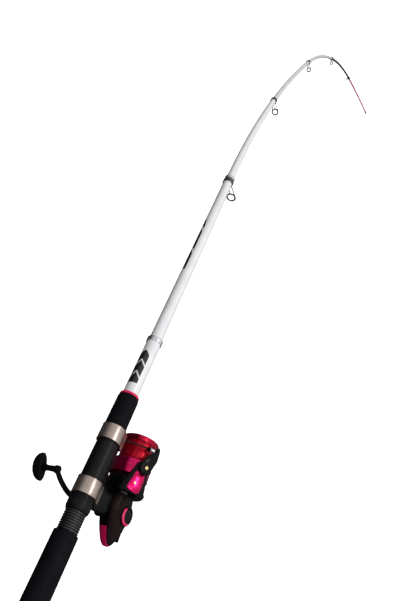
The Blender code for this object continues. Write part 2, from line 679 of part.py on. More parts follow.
def make_housing(reel):
    """Body with stem and foot, side cover and rear cover."""
    far = 200 * MM
    gap = CLEAR / 2
    left = block((REAR_PLANE + gap, COVER_PLANE + gap, -far), (far, far, far))
    tail = block((-far, COVER_PLANE + gap, -far), (REAR_PLANE - gap, far, far))
    right = block((-far, -far, -far), (far, COVER_PLANE - gap, far))
    crank = (CRANK_X, 0, CRANK_Z)

    foot_top = -SEAT_RADIUS - CLEAR
    foot_low = foot_top - FOOT_THICKNESS
    foot_x = FOOT_HALF_LENGTH
    foot_outline = [
        (-foot_x, foot_top), (-foot_x, foot_low + 1.2 * MM), (-foot_x + 5 * MM, foot_low),
        (foot_x - 5 * MM, foot_low), (foot_x, foot_low + 1.2 * MM), (foot_x, foot_top),
    ]
    foot = prism([rod_to_reel(*p) for p in foot_outline], -FOOT_HALF_WIDTH, FOOT_HALF_WIDTH)
    stem_top = rod_to_reel(0, foot_low + 1 * MM)[1]
    hood_low = 44.6 * MM
    stem_outline = [
        (9 * MM, stem_top), (-20.4 * MM, stem_top), (-21.0 * MM, hood_low), (-44.6 * MM, hood_low),
        (-45.5 * MM, 43 * MM), (-43 * MM, 25 * MM), (-40 * MM, 10 * MM), (-13 * MM, 10 * MM),
        (-12.5 * MM, 30 * MM), (-6 * MM, 39 * MM), (3 * MM, 44 * MM),
    ]
    stem = prism(stem_outline, -STEM_HALF_WIDTH, STEM_HALF_WIDTH)
    boss = moved(turned(rod_profile(10 * MM, LEFT_BOSS_END, LEFT_BOSS_RADIUS), 20, "Y"), crank)
    bearing_seat = BEARING_RADIUS + CLEAR
    left_bore = [
        (8 * MM, 0.0), (8 * MM, bearing_seat), (16.4 * MM, bearing_seat),
        (16.4 * MM, CRANK_HUB_RADIUS + CLEAR),
        (LEFT_BOSS_END + 1 * MM, CRANK_HUB_RADIUS + CLEAR), (LEFT_BOSS_END + 1 * MM, 0.0),
    ]
    left_bore = moved(turned(left_bore, 16, "Y"), crank)
    pinion_bore = turned(rod_profile(-16 * MM, 5 * MM, BEARING_RADIUS + 0.5 * MM + CLEAR), 16)
    shell = combine(combine(housing_solid(), stem), left, operation="INTERSECT")
    shell = combine(shell, foot, boss)
    place("body_housing", cut(shell, housing_room(), left_bore, pinion_bore), "black_plastic", reel)

    right_boss = moved(turned(rod_profile(RIGHT_BOSS_END, -10 * MM, BOSS_RADIUS, 0.8 * MM), 24, "Y"), crank)
    right_bore = [
        (RIGHT_BOSS_END - 1 * MM, 0.0), (RIGHT_BOSS_END - 1 * MM, 8.2 * MM), (-13.2 * MM, 8.2 * MM),
        (-13.2 * MM, bearing_seat), (-8.5 * MM, bearing_seat), (-8.5 * MM, 0.0),
    ]
    right_bore = moved(turned(right_bore, 20, "Y"), crank)
    pinion_bore = turned(rod_profile(-16 * MM, 5 * MM, BEARING_RADIUS + 0.5 * MM + CLEAR), 16)
    shell = combine(combine(housing_solid(), right, operation="INTERSECT"), right_boss)
    place("side_cover", cut(shell, housing_room(), right_bore, pinion_bore), "black_plastic", reel)

    tail_shell = combine(housing_solid(), tail, operation="INTERSECT")
    place("rear_cover", cut(tail_shell, housing_room()), "magenta_metal", reel)


# ---------------------------------------------------------------- reel gearing
def gear_outline(teeth, root, tip):
    """The outline of a spur gear."""
    outline = []
    for i in range(teeth):
        for share, radius in ((-0.3, root), (-0.14, tip), (0.14, tip), (0.3, root)):
            angle = math.tau * (i + share) / teeth
            outline.append((radius * math.cos(angle), radius * math.sin(angle)))
    return outline


def crown_wheel():
    """The drive gear's disc, with teeth on its right face."""
    face = PINION_RADIUS + CLEAR
    back = face + DRIVE_GEAR_THICKNESS
    steps = 2 * DRIVE_TEETH
    toothed = (face, face + TOOTH_HEIGHT)
    rings = []
    flat = (back, back)
    profile = ((DRIVE_GEAR_INNER, toothed), (DRIVE_GEAR_RADIUS, toothed), (DRIVE_GEAR_RADIUS, flat))
    for radius, heights in profile:
        angles = [math.tau * i / steps for i in range(steps)]
        rings.append([
            (radius * math.cos(a), heights[i % 2], radius * math.sin(a)) for i, a in enumerate(angles)
        ])
    return loft(rings)


def make_gearing(reel):
    """Drive gear, pinion, main shaft, oscillation gear and slider, bearings and clutch."""
    crank = (CRANK_X, 0, CRANK_Z)
    turning = empty("crank_axis", crank, parent=reel)
    hub = turned(rod_profile(-10.5 * MM, 12.3 * MM, CRANK_HUB_RADIUS), 15, "Y")
    cross = prism(gear_outline(CROSS_TEETH, CROSS_GEAR_RADIUS - 1.2 * MM, CROSS_GEAR_RADIUS), *CROSS_GEAR_Y)
    bore = turned(rod_profile(-30 * MM, 30 * MM, CRANK_SHAFT_RADIUS + CLEAR), 14, "Y")
    place("drive_gear", cut(combine(crown_wheel(), hub, cross), bore), "brass", turning)

    gear = prism(gear_outline(PINION_TEETH, PINION_RADIUS - 1.0 * MM, PINION_RADIUS), *PINION_X, "X")
    sleeve = turned(rod_profile(PINION_X[1] - 1 * MM, 4.0 * MM, PINION_SLEEVE), 15)
    hole = turned(rod_profile(-40 * MM, 20 * MM, SHAFT_RADIUS + SHAFT_BORE_GAP), 14)
    place("pinion_gear", cut(combine(gear, sleeve), hole), "brass", reel)

    shaft = turned(rod_profile(SHAFT_REAR, SHAFT_FRONT, SHAFT_RADIUS, 0.4 * MM), 14)
    place("main_shaft", shaft, "steel", reel)

    teeth = gear_outline(OSCILLATION_TEETH, OSCILLATION_RADIUS - 1.2 * MM, OSCILLATION_RADIUS)
    wheel = prism(teeth, *CROSS_GEAR_Y)
    wheel = moved(wheel, turn=Matrix.Rotation(math.pi / OSCILLATION_TEETH, 4, "Y"))
    pin = moved(turned(rod_profile(CROSS_GEAR_Y[1] - 1 * MM, CROSS_GEAR_Y[1] + 0.7 * MM, 1.3 * MM), 10, "Y"),
                (STROKE / 2, 0, 0))
    spin = empty("oscillation_axis", (OSCILLATION_X, 0, OSCILLATION_Z), parent=reel)
    place("oscillation_gear", combine(wheel, pin), "brass", spin)

    slider_x = OSCILLATION_X + STROKE / 2
    slider = block((slider_x - 3 * MM, -4.2 * MM, -13 * MM), (slider_x + 3 * MM, 4.0 * MM, 4.6 * MM))
    relief = block((slider_x - 4 * MM, -2.9 * MM, -14 * MM), (slider_x + 4 * MM, 5 * MM, -4.4 * MM))
    slot = block((slider_x - 1.6 * MM, -5 * MM, -12 * MM), (slider_x + 1.6 * MM, -2 * MM, -4.6 * MM))
    shaft_hole = turned(rod_profile(slider_x - 9 * MM, slider_x + 9 * MM, SHAFT_RADIUS + CLEAR), 14)
    place("oscillation_slider", cut(slider, relief, slot, shaft_hole), "steel", reel)

    front_bearing = tube_profile(-14.6 * MM, -10.7 * MM, BEARING_RADIUS + 0.5 * MM, PINION_SLEEVE + CLEAR)
    place("pinion_bearing", turned(front_bearing, 16), "steel", reel)
    clutch = tube_profile(-10.3 * MM, -5.2 * MM, 8.0 * MM, PINION_SLEEVE + CLEAR)
    place("roller_clutch", turned(clutch, 16), "steel", reel)
    left = tube_profile(12.9 * MM, 12.9 * MM + BEARING_LENGTH, BEARING_RADIUS, CRANK_SHAFT_RADIUS + CLEAR)
    place("left_bearing", turned(left, 16, "Y"), "steel", turning)
    right = tube_profile(-13.0 * MM, -11.0 * MM, BEARING_RADIUS, CRANK_SHAFT_RADIUS + CLEAR)
    place("right_bearing", turned(right, 16, "Y"), "steel", turning)


# ---------------------------------------------------------------- reel rotor and bail
def arm_outline(half_front, half_rear, front, rear):
    """The outline of a rotor arm from the side: wide at its root, round at the bail hinge."""
    outline = [(rear, -half_rear), (front - 8 * MM, -half_front)]
    for i in range(7):
        angle = -math.pi / 2 + math.pi * i / 6
        outline.append((front + half_front * math.cos(angle), half_front * math.sin(angle)))
    return outline + [(front - 8 * MM, half_front), (rear, half_rear)]


def make_rotor(rotor):
    """Rotor, its nut, and the coloured covers on its arms."""
    rear, front = ROTOR_X
    disc = [
        (rear + 0.6 * MM, 9.2 * MM), (rear, 22.0 * MM), (rear, ROTOR_RADIUS - 1.5 * MM),
        (rear + 1.5 * MM, ROTOR_RADIUS), (front, ROTOR_RADIUS),
        (front, ROTOR_CUP_RADIUS), (ROTOR_CUP_FRONT, ROTOR_CUP_RADIUS),
        (ROTOR_CUP_FRONT, ROTOR_CUP_RADIUS - 1.5 * MM),
        (front + 2 * MM, ROTOR_CUP_RADIUS - 1.5 * MM), (0.0, 8.0 * MM), (0.0, PINION_SLEEVE + CLEAR),
        (-4.6 * MM, PINION_SLEEVE + CLEAR), (-4.6 * MM, 9.2 * MM),
    ]
    hub = turned(disc, 24)
    arms = []
    for side in (-1, 1):
        low, high = sorted((side * ROTOR_ARM_Y[0], side * ROTOR_ARM_Y[1]))
        arms.append(prism(arm_outline(ROTOR_ARM_HALF, 12.0 * MM, BAIL_X, rear + 1 * MM), low, high))
        reach = sorted((side * 20.0 * MM, side * 28.0 * MM))
        arms.append(block((rear + 0.5 * MM, reach[0], -11.5 * MM), (front - 0.2 * MM, reach[1], 11.5 * MM)))
    pin_hole = turned(rod_profile(-40 * MM, 40 * MM, 1.9 * MM), 12, "Y")
    body = cut(combine(hub, *arms), moved(pin_hole, (BAIL_X, 0, 0)))
    place("rotor", body, "black_plastic", rotor)
    corners = [math.tau * i / 6 for i in range(6)]
    nut_outline = [(6.4 * MM * math.cos(a), 6.4 * MM * math.sin(a)) for a in corners]
    nut_hole = turned(rod_profile(-5 * MM, 9 * MM, PINION_SLEEVE + CLEAR), 14)
    place("rotor_nut", cut(prism(nut_outline, CLEAR, 4.0 * MM, "X"), nut_hole), "steel", rotor)
    for side, name in ((-1, "right_arm_cover"), (1, "left_arm_cover")):
        start = side * (ROTOR_ARM_Y[1] + CLEAR)
        low, high = sorted((start, start + side * ARM_COVER_THICKNESS))
        outline = [
            (-4.5 * MM, -7.6 * MM), (7.0 * MM, -7.0 * MM), (10.5 * MM, 0.0), (7.0 * MM, 7.0 * MM),
            (-4.5 * MM, 7.6 * MM),
        ]
        place(name, prism(outline, low, high), "magenta_metal", rotor)


def make_bail(rotor):
    """Bail arm with line roller, bail lever, wire and the hinge screws."""
    bail = empty("bail_axis", (BAIL_X, 0, 0), parent=rotor)
    out = ROTOR_ARM_Y[1] + CLEAR
    cap = turned(rod_profile(-out - 3.6 * MM, -out, BAIL_CAP_RADIUS, 0.6 * MM), 20, "Y")
    arm_line = [
        (-3.0 * MM, -out - 1.8 * MM, 0.0), (8.0 * MM, -out - 2.2 * MM, -2.0 * MM),
        (17.0 * MM, -out - 1.7 * MM, -8.5 * MM),
        (24.0 * MM, 2.3 * MM - out, -12.2 * MM), (26.5 * MM, 3.8 * MM - out, -13.0 * MM),
    ]
    rings = []
    for i, spot in enumerate(arm_line):
        half = (7.0 * MM, 6.5 * MM, 4.4 * MM, 3.4 * MM, 3.0 * MM)[i]
        thick = (1.4 * MM, 1.5 * MM, 1.6 * MM, 1.8 * MM, 1.8 * MM)[i]
        rings.append([(spot[0] + u * half * 0.35, spot[1] + v * thick, spot[2] + u * half) for u, v in
                       ((-1, 0.5), (-0.7, 1), (0.7, 1), (1, 0.5),
                        (1, -0.5), (0.7, -1), (-0.7, -1), (-1, -0.5))])
    arm = loft(rings)
    stud = wire([(25.0 * MM, 3.7 * MM - out, -13.0 * MM), (25.0 * MM, 4.55 * MM - out, 2.5 * MM)], 1.2 * MM)
    hinge_hole = turned(rod_profile(-60 * MM, -10 * MM, 1.9 * MM), 12, "Y")
    arm = cut(combine(cap, arm, stud), hinge_hole)
    place("bail_arm", arm, "black_plastic", bail)

    spin = empty("roller_axis", (25.0 * MM, 4.25 * MM - out, -3.0 * MM), (-math.atan2(0.8, 14.5), 0, 0), bail)
    roller = [
        (-3.0 * MM, 1.7 * MM), (-3.0 * MM, ROLLER_RADIUS), (-1.5 * MM, ROLLER_RADIUS - 0.8 * MM),
        (1.5 * MM, ROLLER_RADIUS - 0.8 * MM), (3.0 * MM, ROLLER_RADIUS), (3.0 * MM, 1.7 * MM),
    ]
    place("line_roller", turned(roller, 16, "Z"), "steel", spin)

    lever_disc = turned(rod_profile(out, out + 3.0 * MM, 6.5 * MM, 0.6 * MM), 16, "Y")
    tongue = block((0.0, out + 0.4 * MM, -2.6 * MM), (9.5 * MM, out + 2.6 * MM, 2.6 * MM))
    lever_hole = turned(rod_profile(10 * MM, 60 * MM, 1.9 * MM), 12, "Y")
    place("bail_lever", cut(combine(lever_disc, tongue), lever_hole), "black_plastic", bail)

    # along X, in from the bail's outer faces, height; from the roller round the front to the lever
    first_half = [
        (25.0, 4.7, 3.0), (23.5, 5.3, 12.0), (21.5, 5.8, 22.0), (20.3, 5.9, 30.3), (20.3, 9.5, 36.4),
        (20.2, 17.8, 40.3),
    ]
    second_half = [
        (20.2, 17.8, 40.3), (20.3, 8.7, 36.4), (18.6, 4.1, 27.0), (14.0, 1.3, 12.0), (10.4, -1.5, 1.2),
    ]
    spots = [(x * MM, inset * MM - out, z * MM) for x, inset, z in first_half]
    spots.append((20.3 * MM, 0.0, 42.3 * MM))
    spots += [(x * MM, out - inset * MM, z * MM) for x, inset, z in second_half]
    place("bail_wire", wire(spline_points(spots, 2), BAIL_WIRE_RADIUS), "black_wire", bail)

    for side, name in ((-1, "right_bail_screw"), (1, "left_bail_screw")):
        head = out + (3.9 if side < 0 else 3.3) * MM
        profile = [
            (ROTOR_ARM_Y[0] + CLEAR, 0.0), (ROTOR_ARM_Y[0] + CLEAR, 1.6 * MM), (head, 1.6 * MM),
            (head, 3.2 * MM),
            (head + 1.2 * MM, 2.6 * MM), (head + 1.2 * MM, 0.0),
        ]
        flip = Matrix.Rotation(math.pi if side < 0 else 0.0, 4, "X")
        place(name, moved(turned(profile, 12, "Y"), turn=flip), "steel", bail)


# ---------------------------------------------------------------- spool and drag
def make_spool(reel):
    """Spool, wound line, drag washers and drag knob."""
    bore = SHAFT_RADIUS + SHAFT_BORE_GAP
    rear, flange = SPOOL_SKIRT_X
    inner = SPOOL_SKIRT_RADIUS - SPOOL_WALL
    recess = KNOB_RADIUS + 0.8 * MM
    profile = [
        (17.0 * MM, bore), (17.0 * MM, 6.0 * MM), (flange - SPOOL_WALL, 6.0 * MM),
        (flange - SPOOL_WALL, inner),
        (rear, inner), (rear, SPOOL_SKIRT_RADIUS), (flange - 0.8 * MM, SPOOL_SKIRT_RADIUS),
        (flange, SPOOL_SKIRT_RADIUS - 0.8 * MM), (flange, SPOOL_CORE_RADIUS), (54.0 * MM, SPOOL_CORE_RADIUS),
        (54.0 * MM, LINE_RADIUS), (57.9 * MM, SPOOL_LIP_RADIUS), (59.0 * MM, SPOOL_LIP_RADIUS),
        (SPOOL_FRONT, SPOOL_LIP_RADIUS - 0.8 * MM), (SPOOL_FRONT, recess), (55.2 * MM, recess),
        (55.2 * MM, DRAG_BORE), (43.0 * MM, DRAG_BORE), (43.0 * MM, bore),
    ]
    place("spool", turned(profile, 24), "magenta_metal", reel)
    start, end = flange + CLEAR, 54.0 * MM - CLEAR
    line = [(start, SPOOL_CORE_RADIUS + CLEAR), (start, LINE_RADIUS - 0.6 * MM),
            ((start + end) / 2, LINE_RADIUS),
            (end, LINE_RADIUS - 0.5 * MM), (end, SPOOL_CORE_RADIUS + CLEAR)]
    place("wound_line", turned(line, 24), "line", reel)
    for i, (name, finish) in enumerate((("drag_felt", "felt"), ("drag_plate", "steel"))):
        low = (43.3 + 3.4 * i) * MM
        washer = turned(tube_profile(low, low + 3.1 * MM, DRAG_BORE - CLEAR, bore + CLEAR), 16)
        place(name, washer, finish, reel)
    knob = [
        (60.2 * MM, 0.0), (60.2 * MM, bore), (50.2 * MM, bore), (50.2 * MM, DRAG_BORE - 2 * CLEAR),
        (55.6 * MM, DRAG_BORE - 2 * CLEAR), (55.6 * MM, KNOB_RADIUS), (60.8 * MM, KNOB_RADIUS),
        (KNOB_FRONT, KNOB_RADIUS - 1.4 * MM), (KNOB_FRONT, 0.0),
    ]
    place("drag_knob", turned(knob, 24), "black_plastic", reel)


# ---------------------------------------------------------------- crank
def make_crank(reel):
    """Crank shaft, crank arm, grip pin, grip, cover cap and the anti-reverse lever."""
    crank = empty("crank_frame", (CRANK_X, 0, CRANK_Z), (0, math.radians(CRANK_LEAN), 0), reel)
    shaft = turned(rod_profile(-12.6 * MM, 31.0 * MM, CRANK_SHAFT_RADIUS, 0.3 * MM), 14, "Y")
    place("crank_shaft", shaft, "steel", crank)
    shaft_room = turned(rod_profile(20 * MM, 40 * MM, CRANK_SHAFT_RADIUS + CLEAR), 14, "Y")
    root = turned(rod_profile(20.6 * MM, 30.4 * MM, 6.5 * MM, 0.8 * MM), 18, "Y")
    line = [(back, out, along) for along, back, out in CRANK_LINE]
    bar = wire(spline_points(line, 2), CRANK_BAR_RADIUS, 1)
    boss = moved(turned(rod_profile(57.0 * MM, 63.8 * MM, 4.6 * MM, 0.6 * MM), 16, "Y"), (0, 0, CRANK_LENGTH))
    pin_room = turned(rod_profile(50 * MM, 66 * MM, GRIP_PIN_RADIUS + CLEAR), 12, "Y")
    arm = cut(combine(root, bar, boss), shaft_room, moved(pin_room, (0, 0, CRANK_LENGTH)))
    place("crank_arm", arm, "black_plastic", crank)

    grip_frame = empty("grip_frame", (0, 0, CRANK_LENGTH), (0, math.radians(GRIP_TURN), 0), crank)
    head = GRIP_BODY_OUT[1] - 2.0 * MM
    pin = [(55.4 * MM, 0.0), (55.4 * MM, GRIP_PIN_RADIUS), (head - 4 * MM, GRIP_PIN_RADIUS),
           (head - 4 * MM, 3.0 * MM), (head - 2.4 * MM, 3.0 * MM), (head - 2.4 * MM, 0.0)]
    place("grip_pin", turned(pin, 12, "Y"), "steel", grip_frame)
    neck = turned(rod_profile(GRIP_X, GRIP_BODY_OUT[0] + 3 * MM, GRIP_NECK_RADIUS), 14, "Y")
    low, high = GRIP_BODY_OUT
    rings = []
    for share, size in ((0.0, 0.94), (0.08, 1.0), (0.35, 0.94), (0.65, 0.77), (0.9, 0.45), (1.0, 0.2)):
        ring = []
        for i in range(14):
            angle = math.tau * i / 14
            ring.append((GRIP_HALF_WIDTH * size * math.cos(angle), low + (high - low) * share,
                         GRIP_HALF_LENGTH * size * math.sin(angle)))
        rings.append(ring)
    pin_bore = turned(rod_profile(60 * MM, head - 4.4 * MM, GRIP_PIN_RADIUS + CLEAR), 12, "Y")
    head_bore = turned(rod_profile(head - 4.6 * MM, 100 * MM, 3.4 * MM), 14, "Y")
    place("crank_grip", cut(combine(neck, loft(rings)), pin_bore, head_bore), "rubber", grip_frame)

    cap = turned(rod_profile(RIGHT_BOSS_END - 0.4 * MM, -13.6 * MM, 7.8 * MM, 0.6 * MM), 20, "Y")
    place("shaft_cap", cap, "black_plastic", crank)

    lever_frame = empty("lever_axis", (-44.0 * MM, 0, -23.5 * MM), parent=reel)
    lever_pin = turned(rod_profile(-3.2 * MM, 0.6 * MM - 1.2 * MM, 3.0 * MM), 12, "Z")
    tab = block((-13.0 * MM, -2.2 * MM, -3.2 * MM), (0.0, 2.2 * MM, -1.4 * MM))
    place("reverse_lever", combine(lever_pin, tab), "black_plastic", lever_frame)


def main():
    """Clears the scene and builds the rod and reel."""
    for obj in list(bpy.data.objects):
        bpy.data.objects.remove(obj)
    FINISHES.update(make_materials())
    make_handle()
    make_sections()
    reel = empty("reel_frame", (0, 0, -REEL_DROP), (0, -math.radians(REEL_TILT), 0))
    make_housing(reel)
    make_gearing(reel)
    rotor = empty("rotor_frame", rotation=(math.radians(ROTOR_TURN), 0, 0), parent=reel)
    make_rotor(rotor)
    make_bail(rotor)
    make_spool(reel)
    make_crank(reel)


FINISHES = {}
main()
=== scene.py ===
"""A telescopic fishing rod with a spinning reel, dressed for a studio picture.

The rod's handle lies along X with its tip towards +X, the reel hangs below at -Z and the crank is at +Y.
Every class builds one sub-assembly; every finish is a procedural material. Sizes are in metres.
"""

import json
import logging
import math
from dataclasses import dataclass
from enum import Enum
from typing import Callable, Iterable, Sequence

import bmesh
import bpy
from mathutils import Matrix, Vector


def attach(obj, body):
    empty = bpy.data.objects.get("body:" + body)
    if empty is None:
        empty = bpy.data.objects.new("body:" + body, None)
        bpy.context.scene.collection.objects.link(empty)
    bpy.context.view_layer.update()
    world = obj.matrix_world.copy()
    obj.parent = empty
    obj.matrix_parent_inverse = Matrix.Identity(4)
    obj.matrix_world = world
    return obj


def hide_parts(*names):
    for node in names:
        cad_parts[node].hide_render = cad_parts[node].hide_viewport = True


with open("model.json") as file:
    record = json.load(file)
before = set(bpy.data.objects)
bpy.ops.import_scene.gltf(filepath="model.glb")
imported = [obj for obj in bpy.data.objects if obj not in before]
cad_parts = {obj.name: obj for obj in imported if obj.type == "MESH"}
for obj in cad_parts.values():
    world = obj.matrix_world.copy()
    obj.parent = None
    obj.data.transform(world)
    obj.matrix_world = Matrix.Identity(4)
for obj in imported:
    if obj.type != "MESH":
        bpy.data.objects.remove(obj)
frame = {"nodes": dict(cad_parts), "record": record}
LOG = logging.getLogger("rod")
MM = 0.001
GAP = 0.3 * MM  # left between two pieces that touch
PIN_OUT = 31.3 * MM  # outer faces of the rotor arms, where the bail hinges
BUTT_FRONT = 176 * MM  # front end of the butt section
Point = tuple[float, float]
Spot = tuple[float, float, float]
Colour = tuple[float, float, float]


# ---------------------------------------------------------------- finishes
class Texture(Enum):
    """The kinds of surface grain that a finish can have."""

    FINE = "fine"
    BRUSHED = "brushed"
    FOAM = "foam"


@dataclass(frozen=True)
class Finish:
    """One procedural surface.

    The base colour drifts towards the shade colour in soft patches; the grain drives bump and roughness.
    """

    name: str
    slot: str
    base: Colour
    shade: Colour
    roughness: tuple[float, float]
    metallic: float = 0.0
    coat: float = 0.0
    texture: Texture = Texture.FINE
    grain: float = 900.0
    bump: float = 0.05
    patch: float = 60.0
    specular: float = 0.5

    def build(self) -> bpy.types.Material:
        """Makes the material, or returns it if it is already made.

        Returns:
            The Blender material.
        """
        known = bpy.data.materials.get(self.name)
        if known is not None:
            return known
        made = bpy.data.materials.new(self.name)
        made.use_nodes = True
        self.wire(made.node_tree)
        return made

    def wire(self, tree: bpy.types.NodeTree) -> None:
        """Adds and joins the nodes.

        Args:
            tree: the material's node tree, holding its Principled shader.
        """
        shader = tree.nodes["Principled BSDF"]
        shader.inputs["Metallic"].default_value = self.metallic
        shader.inputs["Coat Weight"].default_value = self.coat
        shader.inputs["Coat Roughness"].default_value = 0.06
        shader.inputs["Specular IOR Level"].default_value = self.specular
        place = tree.nodes.new("ShaderNodeTexCoord").outputs["Object"]
        colour = self.colour(tree, place)
        tree.links.new(colour, shader.inputs["Base Color"])
        grain = self.grained(tree, place)
        rough = tree.nodes.new("ShaderNodeMapRange")
        rough.inputs["From Min"].default_value = 0.3
        rough.inputs["From Max"].default_value = 0.7
        rough.inputs["To Min"].default_value, rough.inputs["To Max"].default_value = self.roughness
        tree.links.new(grain, rough.inputs["Value"])
        tree.links.new(rough.outputs["Result"], shader.inputs["Roughness"])
        bump = tree.nodes.new("ShaderNodeBump")
        bump.inputs["Strength"].default_value = self.bump
        bump.inputs["Distance"].default_value = 0.2 * MM
        tree.links.new(grain, bump.inputs["Height"])
        tree.links.new(bump.outputs["Normal"], shader.inputs["Normal"])

    def colour(self, tree: bpy.types.NodeTree, place: bpy.types.NodeSocket) -> bpy.types.NodeSocket:
        """The colour with its soft patches.

        Args:
            tree: the material's node tree.
            place: the Object coordinates.

        Returns:
            The colour socket.
        """
        noise = tree.nodes.new("ShaderNodeTexNoise")
        noise.inputs["Scale"].default_value = self.patch
        noise.inputs["Detail"].default_value = 4.0
        tree.links.new(place, noise.inputs["Vector"])
        ramp = tree.nodes.new("ShaderNodeValToRGB")
        ramp.color_ramp.elements[0].position = 0.35
        ramp.color_ramp.elements[0].color = (*self.shade, 1.0)
        ramp.color_ramp.elements[1].position = 0.65
        ramp.color_ramp.elements[1].color = (*self.base, 1.0)
        tree.links.new(noise.outputs["Fac"], ramp.inputs["Fac"])
        return ramp.outputs["Color"]

    def grained(self, tree: bpy.types.NodeTree, place: bpy.types.NodeSocket) -> bpy.types.NodeSocket:
        """The fine grain as a value from 0 to 1.

        Args:
            tree: the material's node tree.
            place: the Object coordinates.

        Returns:
            The grain's value socket.
        """
        stretch = {
            Texture.FINE: (1.0, 1.0, 1.0),
            Texture.BRUSHED: (0.04, 1.0, 1.0),
            Texture.FOAM: (1.0, 1.0, 1.0),
        }[self.texture]
        turn = tree.nodes.new("ShaderNodeMapping")
        turn.inputs["Scale"].default_value = stretch
        tree.links.new(place, turn.inputs["Vector"])
        kind = "ShaderNodeTexVoronoi" if self.texture is Texture.FOAM else "ShaderNodeTexNoise"
        noise = tree.nodes.new(kind)
        noise.inputs["Scale"].default_value = self.grain
        tree.links.new(turn.outputs["Vector"], noise.inputs["Vector"])
        return noise.outputs["Distance" if self.texture is Texture.FOAM else "Fac"]


@dataclass(frozen=True)
class Decal(Finish):
    """A lacquer with a printed pattern on one flank of a round blank that lies along X."""

    ink: Colour = (0.004, 0.004, 0.005)
    start: float = 0.0
    end: float = 0.1
    middle: float = 0.0
    half_angle: float = 0.8
    pitch: float = 0.02
    slope: float = 0.008
    duty: float = 0.55

    def colour(self, tree: bpy.types.NodeTree, place: bpy.types.NodeSocket) -> bpy.types.NodeSocket:
        """The lacquer under a row of printed chevrons.

        Args:
            tree: the material's node tree.
            place: the Object coordinates.

        Returns:
            The colour socket.
        """
        ground = super().colour(tree, place)

        def maths(kind: str, first: object, second: object = 0.0) -> bpy.types.NodeSocket:
            """Adds a Math node.

            Args:
                kind: its operation.
                first: a number or the socket that feeds it.
                second: a number or the socket that feeds it.

            Returns:
                Its output.
            """
            node = tree.nodes.new("ShaderNodeMath")
            node.operation = kind
            for socket, value in zip(node.inputs, (first, second)):
                if isinstance(value, float):
                    socket.default_value = value
                else:
                    tree.links.new(value, socket)
            return node.outputs[0]

        parts = tree.nodes.new("ShaderNodeSeparateXYZ")
        tree.links.new(place, parts.inputs[0])
        along, across, up = parts.outputs
        side = maths("MULTIPLY", across, -1.0)
        away = maths("ABSOLUTE", maths("SUBTRACT", maths("ARCTAN2", side, up), self.middle))
        slid = maths("ADD", maths("SUBTRACT", along, self.start), maths("MULTIPLY", away, self.slope))
        striped = maths("LESS_THAN", maths("FRACT", maths("DIVIDE", slid, self.pitch)), self.duty)
        share = maths("MULTIPLY", maths("SUBTRACT", along, self.start), 1.0 / (self.end - self.start))
        rounded = maths(
            "SQRT", maths("MINIMUM", 1.0, maths("MULTIPLY", maths("SUBTRACT", 1.0, share), 6.0))
        )
        reach = maths("MULTIPLY", rounded, self.half_angle)
        beside = maths("LESS_THAN", away, reach)
        after = maths("GREATER_THAN", along, self.start)
        before = maths("LESS_THAN", along, self.end)
        mask = maths("MULTIPLY", maths("MULTIPLY", striped, beside), maths("MULTIPLY", after, before))
        mix = tree.nodes.new("ShaderNodeMix")
        mix.data_type = "RGBA"
        tree.links.new(mask, mix.inputs["Factor"])
        tree.links.new(ground, mix.inputs[6])
        mix.inputs[7].default_value = (*self.ink, 1.0)
        return mix.outputs[2]


WHITE = Finish(
    "white lacquer", "white_lacquer", (0.74, 0.74, 0.75), (0.68, 0.68, 0.7), (0.12, 0.22), coat=0.25
)
BUTT_WHITE = Decal(
    "printed butt lacquer", "white_lacquer", (0.74, 0.74, 0.75), (0.68, 0.68, 0.7), (0.12, 0.22), coat=0.25,
    start=0.1015, end=0.1516, middle=0.1, half_angle=0.74, pitch=0.0182, slope=0.012, duty=0.84,
)
STREAK_WHITE = Decal(
    "printed second lacquer", "white_lacquer", (0.74, 0.74, 0.75), (0.68, 0.68, 0.7), (0.12, 0.22),
    coat=0.25,
    start=0.305, end=0.422, middle=-0.42, half_angle=0.5, pitch=0.05, slope=0.02, duty=0.86,
)
PALE = Finish(
    "pale grey lacquer", "white_lacquer", (0.64, 0.64, 0.66), (0.57, 0.57, 0.6), (0.14, 0.24), coat=0.2
)
CHARCOAL = Finish(
    "charcoal lacquer", "grey_lacquer", (0.012, 0.01, 0.014), (0.006, 0.005, 0.008), (0.25, 0.4),
    specular=0.25,
)
PINK = Finish(
    "pink lacquer", "pink_lacquer", (0.8, 0.008, 0.11), (0.66, 0.005, 0.08), (0.25, 0.4), specular=0.3
)
FOAM = Finish(
    "handle foam", "foam", (0.0035, 0.0035, 0.0055), (0.0015, 0.0015, 0.003), (0.55, 0.8),
    texture=Texture.FOAM, grain=1500.0, bump=0.25, specular=0.08,
)
RUBBER = Finish(
    "soft rubber", "rubber", (0.004, 0.004, 0.0045), (0.002, 0.002, 0.0025), (0.5, 0.75),
    texture=Texture.FOAM, grain=1800.0, bump=0.2, specular=0.12,
)
SEAT_BLACK = Finish(
    "seat black", "black_plastic", (0.004, 0.004, 0.005), (0.002, 0.002, 0.0025), (0.36, 0.5), bump=0.12,
    specular=0.14,
)
GLOSS_BLACK = Finish(
    "gloss black", "black_plastic", (0.0025, 0.0025, 0.003), (0.0012, 0.0012, 0.0015), (0.18, 0.3),
    specular=0.09,
)
BROWN_BLACK = Finish(
    "fleck black", "black_plastic", (0.014, 0.005, 0.005), (0.002, 0.0012, 0.0012), (0.3, 0.5),
    grain=1400.0, bump=0.3,
    patch=500.0, specular=0.07,
)
MAGENTA = Finish(
    "anodised magenta", "magenta_metal", (0.62, 0.003, 0.11), (0.4, 0.001, 0.06), (0.18, 0.32), 0.92, 0.15,
    patch=90.0,
)
BAND = Finish(
    "brushed band", "steel_band", (0.4, 0.33, 0.29), (0.28, 0.22, 0.19), (0.22, 0.4), 0.92, 0.0,
    Texture.BRUSHED, 2600.0, 0.12
)
